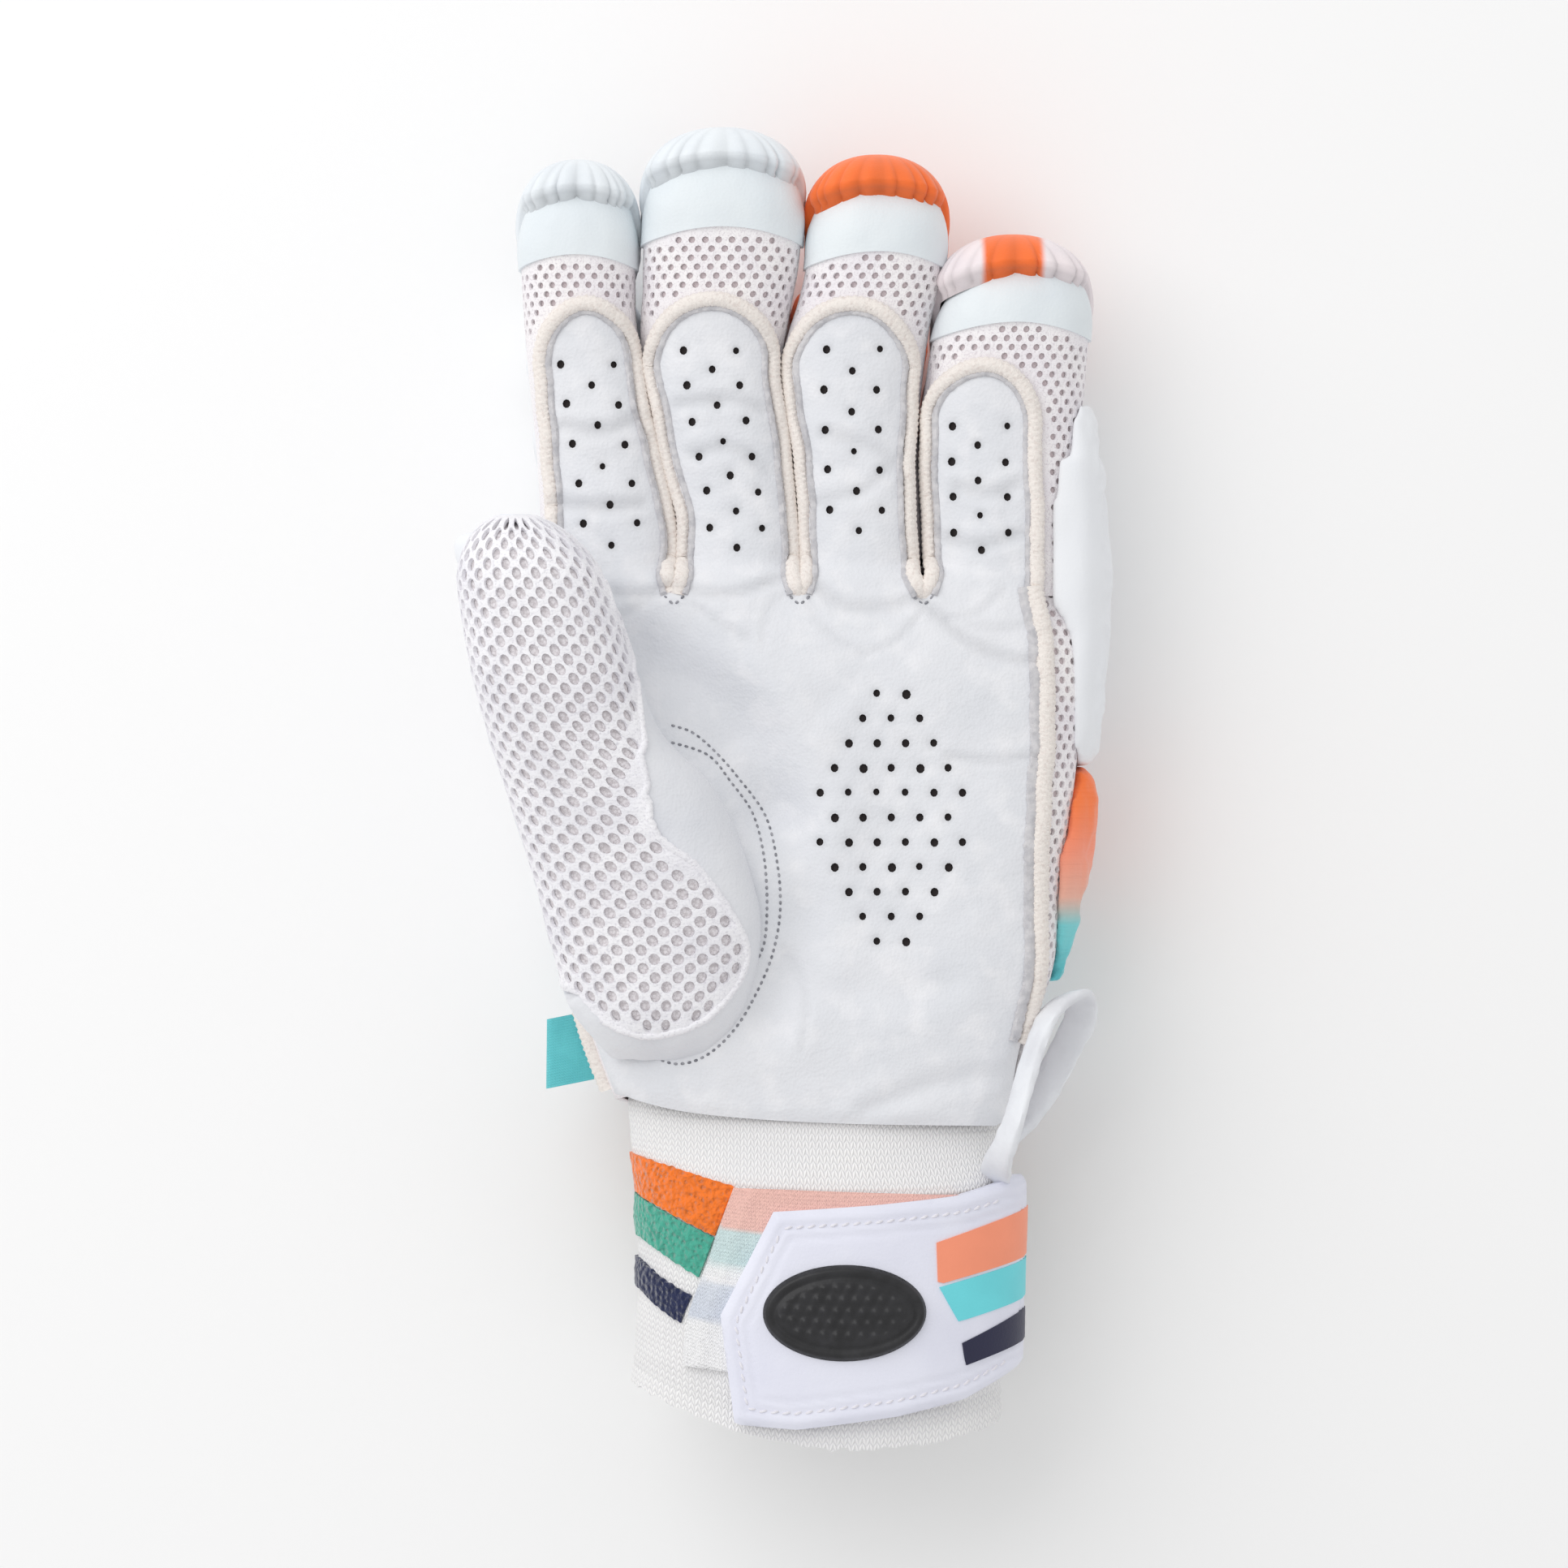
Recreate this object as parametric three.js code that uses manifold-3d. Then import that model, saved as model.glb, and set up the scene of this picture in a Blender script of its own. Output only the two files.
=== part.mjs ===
// A left-hand cricket batting glove, lying on its back pads with the palm up.
// Millimetres, +Z up, +Y towards the fingertips, -X the thumb side.
import * as THREE from "three";
import { mergeVertices } from "three/addons/utils/BufferGeometryUtils.js";
import Module from "manifold-3d";

const wasm = await Module();
wasm.setup();

// Walls and clearances
const LEATHER_WALL = 1.6;
const CUFF_WALL = 2.4;
const TAPE_WALL = 1.2;
const STRAP_WALL = 2.6;
const GRIP_WALL = 1.6;
const GAP = 0.3;

// The hollow for the hand, from the palm hem to the finger roots
const HEM_Y = -70;
const PALM_LENGTH = 116;
const PALM_WIDTH = 114;
const PALM_DEPTH = 32;

// The finger and thumb stalls
const KNUCKLE_Y = 40;
const FINGER_LENGTH = 95;
const FINGER_DEPTH = 20;
const THUMB_Y = -57;
const THUMB_LENGTH = 112;
const THUMB_WIDTH = 43;
const THUMB_DEPTH = 26;
const THUMB_TIP_ROUND = 15;
const TIP_ROUND = 15;

// The padding on the back
const PAD_HEIGHT = 15;
const ROLL_WRAP = 8;
const SIDE_PAD = 9;
const TIP_ROLL = 3.4;
const PLEAT_DEPTH = 0.7;
const PLEATS = 7;

// Leather tongues, tip wraps and their seams
const TONGUE_INSET = 1.7;
const TONGUE_ARCH = 13;
const BINDING_RADIUS = 1.5;
const WRAP_LENGTH = 17;
const WRAP_BOW = 7.5;
const ROLL_LENGTH = 3.8;
const BACK_ROLL_LENGTH = 22;

// The wrist
const CUFF_LENGTH = 73;
const CUFF_WIDTH = 79;
const CUFF_DEPTH = 42;
const CUFF_TUCK = 9;
const CUFF_BOW = 8;
const STRAP_LENGTH = 64;
const STRAP_HEIGHT = 45;
const STRAP_X = -13.5;
const STRAP_Y = -110;
const GRIP_LENGTH = 34;
const GRIP_HEIGHT = 20;
const TAPE_LENGTH = 66;
const TAPE_HEIGHT = 34;
const LOOP_WIDTH = 4.8;
const LOOP_THICKNESS = 3;
const TAB_WIDTH = 9;
const TAB_LENGTH = 17;
const TAB_THICKNESS = 1.6;

const HAND_BASE = PAD_HEIGHT + GAP + LEATHER_WALL;
const FAR = 400;

const WHITE = "#e7e9ee";
const LEATHER = "#e6e8ec";
const WRAP_WHITE = "#e8eef1";
const MESH_WHITE = "#eee8ee";
const CREAM = "#f0e8e2";
const ORANGE = "#ff732d";
const CORAL = "#ff9b78";
const TEAL = "#58c3ca";
const KNIT = "#f0f0f0";
const STRAP_LILAC = "#e8e8f8";
const PINK = "#ffbeb4";
const BLACK = "#1c1c1e";

// Palm: along from the hem, centre and width as shares of the palm width, depth of the palm depth,
// and how far the middle of the palm sinks in, as a share of the palm depth
const PALM_ROWS = [
  { along: 0.0, centre: 0.057, width: 0.718, depth: 0.95, hollow: 0 },
  { along: 0.138, centre: 0.044, width: 0.796, depth: 1.0, hollow: 0.04 },
  { along: 0.259, centre: 0.048, width: 0.875, depth: 1.0, hollow: 0.1 },
  { along: 0.431, centre: 0.04, width: 0.93, depth: 0.98, hollow: 0.14 },
  { along: 0.603, centre: 0.043, width: 0.97, depth: 0.95, hollow: 0.14 },
  { along: 0.845, centre: 0.047, width: 1.0, depth: 0.85, hollow: 0.06 },
  { along: 1.0, centre: 0.047, width: 1.0, depth: 0.62, hollow: 0 },
];

// Where one finger ends and the next begins, as shares of the palm width
const LANES = [
  { along: -0.2, edges: [-0.468, -0.211, 0.024, 0.254, 0.562] },
  { along: 0.0, edges: [-0.468, -0.211, 0.024, 0.254, 0.562] },
  { along: 0.16, edges: [-0.47, -0.207, 0.021, 0.251, 0.56] },
  { along: 0.32, edges: [-0.477, -0.237, 0.009, 0.246, 0.557] },
  { along: 0.54, edges: [-0.495, -0.272, -0.009, 0.26, 0.57] },
  { along: 0.73, edges: [-0.505, -0.277, 0.027, 0.298, 0.578] },
  { along: 1.1, edges: [-0.503, -0.257, 0.033, 0.308, 0.576] },
];

// Fingers: length as a share of the finger length, tongue top likewise, seam insets as shares of the inset
const FINGERS = [
  { name: "index", lane: 0, length: 0.93, tongue: 0.65, left: 2.2, right: 0.9, wrap: 0.95, lift: 0.05 },
  { name: "middle", lane: 1, length: 1.0, tongue: 0.655, left: 1, right: 1, wrap: 1.0, lift: 0.07 },
  { name: "ring", lane: 2, length: 0.94, tongue: 0.648, left: 1, right: 1.4, wrap: 0.97, lift: 0.06 },
  { name: "little", lane: 3, length: 0.762, tongue: 0.513, left: 1, right: 6.4, wrap: 0.85, lift: 0.05 },
];

// Thumb stall: shares of its length, width and depth, height as a share of the palm depth
const THUMB_ROWS = [
  { along: 0.0, centre: -0.62, width: 0.42, height: 0.86, depth: 0.6 },
  { along: 0.07, centre: -0.63, width: 0.72, height: 0.88, depth: 0.8 },
  { along: 0.2, centre: -0.64, width: 0.95, height: 0.91, depth: 0.95 },
  { along: 0.33, centre: -0.7, width: 1.0, height: 0.96, depth: 1.0 },
  { along: 0.5, centre: -0.87, width: 0.93, height: 1.06, depth: 1.0 },
  { along: 0.6, centre: -1.03, width: 0.77, height: 1.14, depth: 1.0 },
  { along: 0.72, centre: -1.13, width: 0.73, height: 1.23, depth: 0.97 },
  { along: 0.88, centre: -1.235, width: 0.66, height: 1.25, depth: 0.92 },
  { along: 1.0, centre: -1.315, width: 0.6, height: 1.23, depth: 0.85 },
];

// Knit cuff: shares of its length, width and depth, centre as a share of its width,
// and how much of its form it takes from the hem that it is sewn into
const CUFF_ROWS = [
  { along: 0.0, centre: 0.083, width: 0.985, depth: 0.66, hem: 1 },
  { along: 0.125, centre: 0.083, width: 0.985, depth: 0.68, hem: 1 },
  { along: 0.3, centre: 0.09, width: 1.0, depth: 0.92, hem: 0 },
  { along: 0.6, centre: 0.09, width: 0.99, depth: 1.0, hem: 0 },
  { along: 1.0, centre: 0.08, width: 1.0, depth: 1.0, hem: 0 },
];

// How far the outer seam lies inside the palm's little-finger side, as shares of the palm width
const OUTER_SEAM = [
  { along: 0.16, inset: 0.02 },
  { along: 0.34, inset: 0.045 },
  { along: 0.65, inset: 0.072 },
  { along: 0.84, inset: 0.085 },
  { along: 1.03, inset: 0.115 },
];

// Values between the rows of a table, eased so that the shape has no kinks
function between(rows, along, read) {
  let after = rows.findIndex((row) => row.along >= along);
  if (after === 0) {
    return read(rows[0]);
  }
  if (after < 0) {
    return read(rows[rows.length - 1]);
  }
  const before = rows[after - 1];
  const share = (along - before.along) / (rows[after].along - before.along);
  const eased = share * share * (3 - 2 * share) * 0.4 + share * 0.6;
  return read(before) + (read(rows[after]) - read(before)) * eased;
}

// A closed body from rings of equal counts, with flat ends
function loft(rings) {
  const count = rings[0].length;
  const positions = rings.flat().flatMap((point) => [point.x, point.y, point.z]);
  const index = [];
  for (let ring = 0; ring + 1 < rings.length; ring += 1) {
    for (let step = 0; step < count; step += 1) {
      const a = ring * count + step;
      const b = ring * count + ((step + 1) % count);
      index.push(a, b, a + count, b, b + count, a + count);
    }
  }
  const last = (rings.length - 1) * count;
  for (let step = 1; step + 1 < count; step += 1) {
    index.push(0, step + 1, step);
    index.push(last, last + step, last + step + 1);
  }
  const geometry = new THREE.BufferGeometry();
  geometry.setAttribute("position", new THREE.Float32BufferAttribute(positions, 3));
  geometry.setIndex(index);
  return solidOf(geometry);
}

// A three.js geometry as a solid that can be cut and joined
function solidOf(geometry) {
  const bare = geometry.clone();
  bare.deleteAttribute("normal");
  bare.deleteAttribute("uv");
  const merged = mergeVertices(bare, 1e-4);
  const mesh = new wasm.Mesh({
    numProp: 3,
    vertProperties: new Float32Array(merged.attributes.position.array),
    triVerts: new Uint32Array(merged.index.array),
  });
  const solid = new wasm.Manifold(mesh);
  if (solid.volume() > 0) {
    return solid;
  }
  const flipped = new Uint32Array(merged.index.array);
  for (let corner = 0; corner < flipped.length; corner += 3) {
    const kept = flipped[corner];
    flipped[corner] = flipped[corner + 1];
    flipped[corner + 1] = kept;
  }
  return new wasm.Manifold(
    new wasm.Mesh({ numProp: 3, vertProperties: mesh.vertProperties, triVerts: flipped }),
  );
}

// One ring of a soft body: a rounded rectangle across the hand
function ring(section, y, sides, power, grow = 0, bend = () => 0) {
  const hollow = section.hollow ?? 0;
  const points = [];
  for (let step = 0; step < sides; step += 1) {
    const angle = (2 * Math.PI * (step + 0.5)) / sides;
    const across = Math.sign(Math.cos(angle)) * Math.abs(Math.cos(angle)) ** (2 / power);
    const up = Math.sign(Math.sin(angle)) * Math.abs(Math.sin(angle)) ** (2 / power);
    const x = section.x + across * (section.halfWidth + grow);
    const dent = up > 0 ? hollow * up * (1 - across * across) : 0;
    const z = section.z + up * (section.halfDepth + grow) - dent;
    points.push(new THREE.Vector3(x, y + bend(across), z));
  }
  return points;
}

// An upright prism over an outline drawn in plan
function prism(outline, low = -FAR, high = FAR) {
  const shape = new THREE.Shape(outline.map(([x, y]) => new THREE.Vector2(x, y)));
  const geometry = new THREE.ExtrudeGeometry(shape, { depth: high - low, bevelEnabled: false });
  geometry.translate(0, 0, low);
  return solidOf(geometry);
}

function box(x0, x1, y0, y1, z0, z1) {
  const geometry = new THREE.BoxGeometry(x1 - x0, y1 - y0, z1 - z0);
  geometry.translate((x0 + x1) / 2, (y0 + y1) / 2, (z0 + z1) / 2);
  return solidOf(geometry);
}

// A cord-like body along points, flattened where thickness is less than width
function tube(points, width, thickness, sides, steps) {
  const curve = new THREE.CatmullRomCurve3(points);
  const shape = new THREE.Shape();
  for (let step = 0; step < sides; step += 1) {
    const angle = (2 * Math.PI * (step + 0.5)) / sides;
    const x = (Math.cos(angle) * thickness) / 2;
    const y = (Math.sin(angle) * width) / 2;
    if (step === 0) {
      shape.moveTo(x, y);
    } else {
      shape.lineTo(x, y);
    }
  }
  shape.closePath();
  const geometry = new THREE.ExtrudeGeometry(shape, { steps, extrudePath: curve, bevelEnabled: false });
  return solidOf(geometry);
}

// Palm hollow grown outwards by a wall
function palmSection(y) {
  const along = (y - HEM_Y) / PALM_LENGTH;
  const depth = between(PALM_ROWS, along, (row) => row.depth) * PALM_DEPTH;
  return {
    x: between(PALM_ROWS, along, (row) => row.centre) * PALM_WIDTH,
    z: HAND_BASE + depth / 2,
    halfWidth: (between(PALM_ROWS, along, (row) => row.width) * PALM_WIDTH) / 2,
    halfDepth: depth / 2,
    hollow: between(PALM_ROWS, along, (row) => row.hollow) * PALM_DEPTH,
  };
}

const PALM_POWER = 2.7;
const PALM_SIDES = 18;

function palmForm(grow, open = 0) {
  const rings = PALM_ROWS.map((row, at) => {
    const y = HEM_Y + row.along * PALM_LENGTH;
    const last = at === PALM_ROWS.length - 1;
    const shift = at === 0 ? -open : last ? grow : 0;
    return ring(palmSection(y), y + shift, PALM_SIDES, PALM_POWER, grow);
  });
  return loft(rings);
}

// A finger stall fills its lane, lifts towards the tip and closes in a dome
function lane(finger, y) {
  const along = (y - KNUCKLE_Y) / FINGER_LENGTH;
  const edge = (at) => between(LANES, along, (row) => row.edges[at]) * PALM_WIDTH;
  return { left: edge(finger.lane), right: edge(finger.lane + 1) };
}

function fingerTip(finger) {
  return KNUCKLE_Y + finger.length * FINGER_LENGTH;
}

function fingerSection(finger, y) {
  const { left, right } = lane(finger, y);
  const along = Math.max(0, (y - KNUCKLE_Y) / (finger.length * FINGER_LENGTH));
  return {
    x: (left + right) / 2,
    z: HAND_BASE + FINGER_DEPTH / 2 + finger.lift * FINGER_LENGTH * along ** 2,
    halfWidth: (right - left) / 2 - LEATHER_WALL - GAP,
    halfDepth: FINGER_DEPTH / 2,
  };
}

const FINGER_POWER = 2.5;
const FINGER_SIDES = 12;
const FINGER_STATIONS = [0.03, 0.32, 0.62];
const DOME = [0, 0.55, 0.88, 1];

function fingerForm(finger, grow) {
  const tip = fingerTip(finger);
  const rings = FINGER_STATIONS.map((share) => {
    const y = KNUCKLE_Y - 8 + share * finger.length * FINGER_LENGTH;
    return ring(fingerSection(finger, y), y, FINGER_SIDES, FINGER_POWER, grow);
  });
  for (const share of DOME) {
    const start = tip - TIP_ROUND;
    const y = start + share * (TIP_ROUND + grow);
    const size = Math.max(0.12, Math.sqrt(1 - share * share));
    const section = fingerSection(finger, y);
    const grown = {
      ...section,
      halfWidth: (section.halfWidth + grow) * size,
      halfDepth: (section.halfDepth + grow) * size,
    };
    rings.push(ring(grown, y, FINGER_SIDES, FINGER_POWER));
  }
  return loft(rings);
}

// The upright strip of space that belongs to one finger
function lanePrism(finger, inset) {
  const left = [];
  const right = [];
  for (const row of LANES) {
    const y = KNUCKLE_Y + row.along * FINGER_LENGTH + (row.along < 0 ? -FAR / 4 : 0);
    left.push([row.edges[finger.lane] * PALM_WIDTH + inset, y]);
    right.push([row.edges[finger.lane + 1] * PALM_WIDTH - inset, y]);
  }
  const outer = finger.lane === 3 ? FAR / 8 : 0;
  const inner = finger.lane === 0 ? FAR / 8 : 0;
  return prism([
    ...left.map(([x, y]) => [x - inner, y]),
    ...right.map(([x, y]) => [x + outer, y]).reverse(),
  ]);
}

// Thumb stall, in front of the palm
function thumbSection(y) {
  const along = (y - THUMB_Y) / THUMB_LENGTH;
  const read = (column) => between(THUMB_ROWS, along, (row) => row[column]);
  return {
    x: read("centre") * THUMB_WIDTH,
    z: HAND_BASE + read("height") * PALM_DEPTH,
    halfWidth: (read("width") * THUMB_WIDTH) / 2,
    halfDepth: (read("depth") * THUMB_DEPTH) / 2,
  };
}

const THUMB_SIDES = 12;

function thumbForm(grow) {
  const rings = [];
  const tip = THUMB_Y + THUMB_LENGTH;
  for (const row of THUMB_ROWS.slice(0, -1)) {
    const y = THUMB_Y + row.along * THUMB_LENGTH;
    const shift = row.along === 0 ? -grow : 0;
    const limited = Math.min(y, tip - THUMB_TIP_ROUND - 1);
    rings.push(ring(thumbSection(limited), limited + shift, THUMB_SIDES, FINGER_POWER, grow));
  }
  for (const share of DOME) {
    const y = tip - THUMB_TIP_ROUND + share * (THUMB_TIP_ROUND + grow);
    const size = Math.max(0.12, Math.sqrt(1 - share * share));
    const section = thumbSection(y);
    const grown = {
      ...section,
      halfWidth: (section.halfWidth + grow) * size,
      halfDepth: (section.halfDepth + grow) * size,
    };
    rings.push(ring(grown, y, THUMB_SIDES, FINGER_POWER));
  }
  return loft(rings);
}

// Cuff tube, its mouth bowed away from the hand
const CUFF_SIDES = 18;
const CUFF_POWER = 2.15;
const CUFF_TOP_Y = HEM_Y + CUFF_TUCK;
const CUFF_Z = HAND_BASE + PALM_DEPTH / 2;

function cuffForm(grow, over = 0) {
  const hem = palmSection(HEM_Y);
  const rings = CUFF_ROWS.map((row) => {
    const last = row.along === 1;
    const first = row.along === 0;
    const y = CUFF_TOP_Y - row.along * CUFF_LENGTH - (last ? over : 0) + (first ? over : 0);
    const blend = (own, sewn) => own + (sewn - own) * row.hem;
    const section = {
      x: blend(row.centre * CUFF_WIDTH, hem.x),
      z: blend(CUFF_Z, hem.z),
      halfWidth: blend((row.width * CUFF_WIDTH) / 2, hem.halfWidth - GAP),
      halfDepth: blend((row.depth * CUFF_DEPTH) / 2, hem.halfDepth - GAP),
    };
    const bow = (across) => -row.along * CUFF_BOW * (0.75 - (across - 0.25) ** 2);
    return ring(section, y, CUFF_SIDES, CUFF_POWER, grow, bow);
  });
  return loft(rings);
}

const cuffClear = cuffForm(GAP, 4);
const union = (solids) => solids.reduce((all, solid) => all.add(solid));
const handForm = (grow, open = 0) =>
  union([palmForm(grow, open), ...FINGERS.map((finger) => fingerForm(finger, grow))]);

const handInner = handForm(0, 2);
const handOuter = handForm(LEATHER_WALL);
const handClear = handForm(LEATHER_WALL + GAP, 1);
const thumbInner = thumbForm(0);
const thumbOuter = thumbForm(LEATHER_WALL);
const thumbClear = thumbForm(LEATHER_WALL + GAP);
const handShell = handOuter.subtract(handInner).subtract(thumbClear).subtract(cuffClear);
const thumbShell = thumbOuter.subtract(thumbInner).subtract(handInner);

// Height of the front surface over a place in plan
function surfaceZ(section, x, power, grow) {
  const across = Math.min(1, Math.abs((x - section.x) / (section.halfWidth + grow)));
  const up = (1 - across ** power) ** (1 / power);
  const dent = (section.hollow ?? 0) * up * (1 - across * across);
  return section.z + (section.halfDepth + grow) * up - dent;
}

function frontZ(x, y) {
  const heights = [];
  if (y < HEM_Y + PALM_LENGTH) {
    heights.push(surfaceZ(palmSection(y), x, PALM_POWER, LEATHER_WALL));
  }
  for (const finger of FINGERS) {
    const { left, right } = lane(finger, y);
    if (y > KNUCKLE_Y && x > left && x < right) {
      heights.push(surfaceZ(fingerSection(finger, y), x, FINGER_POWER, LEATHER_WALL));
    }
  }
  return Math.max(...heights);
}

// The leather tongue over a finger: seam lines beside the lane and an arch at the top
const ROOT_Y = KNUCKLE_Y + 4;
const ARCH_STEPS = 6;

function tongue(finger, grow) {
  const top = KNUCKLE_Y + finger.tongue * FINGER_LENGTH;
  const spring = top - TONGUE_ARCH;
  const side = (y, right) => {
    const edges = lane(finger, y);
    const inset = (right ? finger.right : finger.left) * TONGUE_INSET - grow;
    return right ? edges.right - inset : edges.left + inset;
  };
  const outline = [];
  const steps = 4;
  for (let step = 0; step <= steps; step += 1) {
    const y = ROOT_Y - 10 + ((spring - ROOT_Y + 10) * step) / steps;
    outline.push([side(y, false), y]);
  }
  const left = side(spring, false);
  const right = side(spring, true);
  for (let step = 1; step < ARCH_STEPS; step += 1) {
    const angle = Math.PI * (1 - step / ARCH_STEPS);
    const x = (left + right) / 2 + (Math.cos(angle) * (right - left)) / 2;
    outline.push([x, spring + Math.sin(angle) * (TONGUE_ARCH + grow)]);
  }
  for (let step = steps; step >= 0; step -= 1) {
    const y = ROOT_Y - 10 + ((spring - ROOT_Y + 10) * step) / steps;
    outline.push([side(y, true), y]);
  }
  return outline;
}

// The palm's front panel, from the hem to the finger roots
function outerSeam(y) {
  const along = (y - HEM_Y) / PALM_LENGTH;
  const section = palmSection(y);
  const inset = between(OUTER_SEAM, along, (row) => row.inset) * PALM_WIDTH;
  return section.x + section.halfWidth + LEATHER_WALL - inset;
}

function palmPanel(grow) {
  const left = [];
  const right = [];
  for (const row of PALM_ROWS) {
    const y = HEM_Y + row.along * PALM_LENGTH + (row.along === 0 ? -10 : 0) + (row.along === 1 ? grow : 0);
    const section = palmSection(y);
    left.push([section.x - section.halfWidth - LEATHER_WALL + TONGUE_INSET - grow, y]);
    right.push([outerSeam(y) + grow, y]);
  }
  return [...left, ...right.reverse()];
}

const SPLIT_Z = HAND_BASE + FINGER_DEPTH / 2;

function frontCutter(grow) {
  return union([
    prism(palmPanel(grow), SPLIT_Z - grow),
    ...FINGERS.map((finger) => prism(tongue(finger, grow), SPLIT_Z - grow)),
  ]);
}

// An arched edge across a finger; everything beyond it is kept
function beyondArch(finger, crown, bow, shift) {
  const { left, right } = lane(finger, crown);
  const middle = (left + right) / 2;
  const half = (right - left) / 2 + 6;
  const outline = [];
  for (let step = 0; step <= ARCH_STEPS; step += 1) {
    const across = -1 + (2 * step) / ARCH_STEPS;
    outline.push([middle + across * half, crown - bow * across ** 2 + shift]);
  }
  outline.push([middle + half, FAR], [middle - half, FAR]);
  return prism(outline);
}

// Fabric-covered padding: a body with rounded ends, cut to sit on the stall and flat on the floor
const ROLL_RINGS = [
  { at: -1, size: 0.62 },
  { at: -0.7, size: 0.92 },
  { at: 0, size: 1 },
  { at: 0.7, size: 0.92 },
  { at: 1, size: 0.62 },
];
const ROLL_SIDES = 8;
const ROLL_POWER = 2.6;

function roll(centre, halfWidth, halfLength, halfDepth, lean = 0) {
  const rings = ROLL_RINGS.map(({ at, size }) => {
    const y = centre.y + at * halfLength;
    const section = {
      x: centre.x + at * halfLength * lean,
      z: centre.z,
      halfWidth: halfWidth - (1 - size) * halfLength * 0.7,
      halfDepth: halfDepth * size,
    };
    return ring(section, y, ROLL_SIDES, ROLL_POWER);
  });
  return loft(rings);
}

const aboveFloor = box(-FAR, FAR, -FAR, FAR, 0, FAR);

const glove = new THREE.Group();

function add(name, solid, color, roughness) {
  const mesh = solid.getMesh();
  const geometry = new THREE.BufferGeometry();
  geometry.setAttribute("position", new THREE.BufferAttribute(new Float32Array(mesh.vertProperties), 3));
  geometry.setIndex(new THREE.BufferAttribute(new Uint32Array(mesh.triVerts), 1));
  const piece = new THREE.Mesh(
    geometry,
    new THREE.MeshStandardMaterial({ color, roughness, metalness: 0 }),
  );
  piece.name = name;
  glove.add(piece);
}

// The largest of the bodies left by a cut, without the crumbs
function mainBody(solid) {
  const bodies = solid.decompose();
  return bodies.reduce((most, body) => (body.volume() > most.volume() ? body : most));
}

// Palm leather with its four finger tongues, one piece
add("palm_leather", mainBody(handShell.intersect(frontCutter(0))), LEATHER, 0.75);

// Mesh sides and back of the hand and fingers
const behind = handShell.subtract(frontCutter(GAP));
const bodyCut = box(-FAR, FAR, -FAR, ROOT_Y - GAP, -FAR, FAR);
add("hand_body", mainBody(behind.intersect(bodyCut)), MESH_WHITE, 0.85);

// Padding down the little-finger side, a white bar above and a coloured roll below
const SIDE_Z = HAND_BASE + FINGER_DEPTH * 0.5;
const SIDE_STEP_Y = 4;
const SIDE_TOP_Y = 82;
const SIDE_LOW_Y = -42;

function sideBar(grow) {
  const rings = [
    { y: SIDE_STEP_Y, out: 0.7 },
    { y: SIDE_STEP_Y + 8, out: 0.9 },
    { y: (SIDE_STEP_Y + SIDE_TOP_Y) / 2, out: 1 },
    { y: SIDE_TOP_Y - 14, out: 0.85 },
    { y: SIDE_TOP_Y, out: 0.3 },
  ].map(({ y, out }) => {
    const edge = y < KNUCKLE_Y ? palmSection(y) : fingerSection(FINGERS[3], y);
    const section = {
      x: edge.x + edge.halfWidth + LEATHER_WALL - SIDE_PAD / 2,
      z: SIDE_Z,
      halfWidth: SIDE_PAD * (0.5 + 0.55 * out),
      halfDepth: FINGER_DEPTH * 0.62 * (0.6 + 0.4 * out),
    };
    return ring(section, y, ROLL_SIDES, ROLL_POWER, grow);
  });
  return loft(rings);
}

function outerRoll(grow) {
  const rings = ROLL_RINGS.map(({ at, size }) => {
    const middle = (SIDE_LOW_Y + SIDE_STEP_Y - GAP) / 2;
    const y = middle + (at * (SIDE_STEP_Y - GAP - SIDE_LOW_Y)) / 2;
    const edge = palmSection(y);
    const section = {
      x: edge.x + edge.halfWidth + LEATHER_WALL - SIDE_PAD / 2,
      z: SIDE_Z,
      halfWidth: SIDE_PAD * (0.5 + 0.75 * (size - 0.25)),
      halfDepth: PALM_DEPTH * 0.42 * size,
    };
    return ring(section, y, ROLL_SIDES, ROLL_POWER, grow);
  });
  return loft(rings);
}

add("side_bar", mainBody(sideBar(0).subtract(handClear)), WHITE, 0.7);
add("outer_roll", mainBody(outerRoll(0).subtract(handClear)), CORAL, 0.8);
const sideClear = sideBar(GAP).add(outerRoll(GAP));

// Each finger: mesh gusset, leather tip wrap, gathered tip roll, edge binding and back rolls
const ROLL_COUNT = 3;
const ringColours = [TEAL, CORAL, ORANGE];
const rollColour = (finger, count) => (finger.name === "ring" ? ringColours[count] : WHITE);
const bindings = [];

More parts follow.
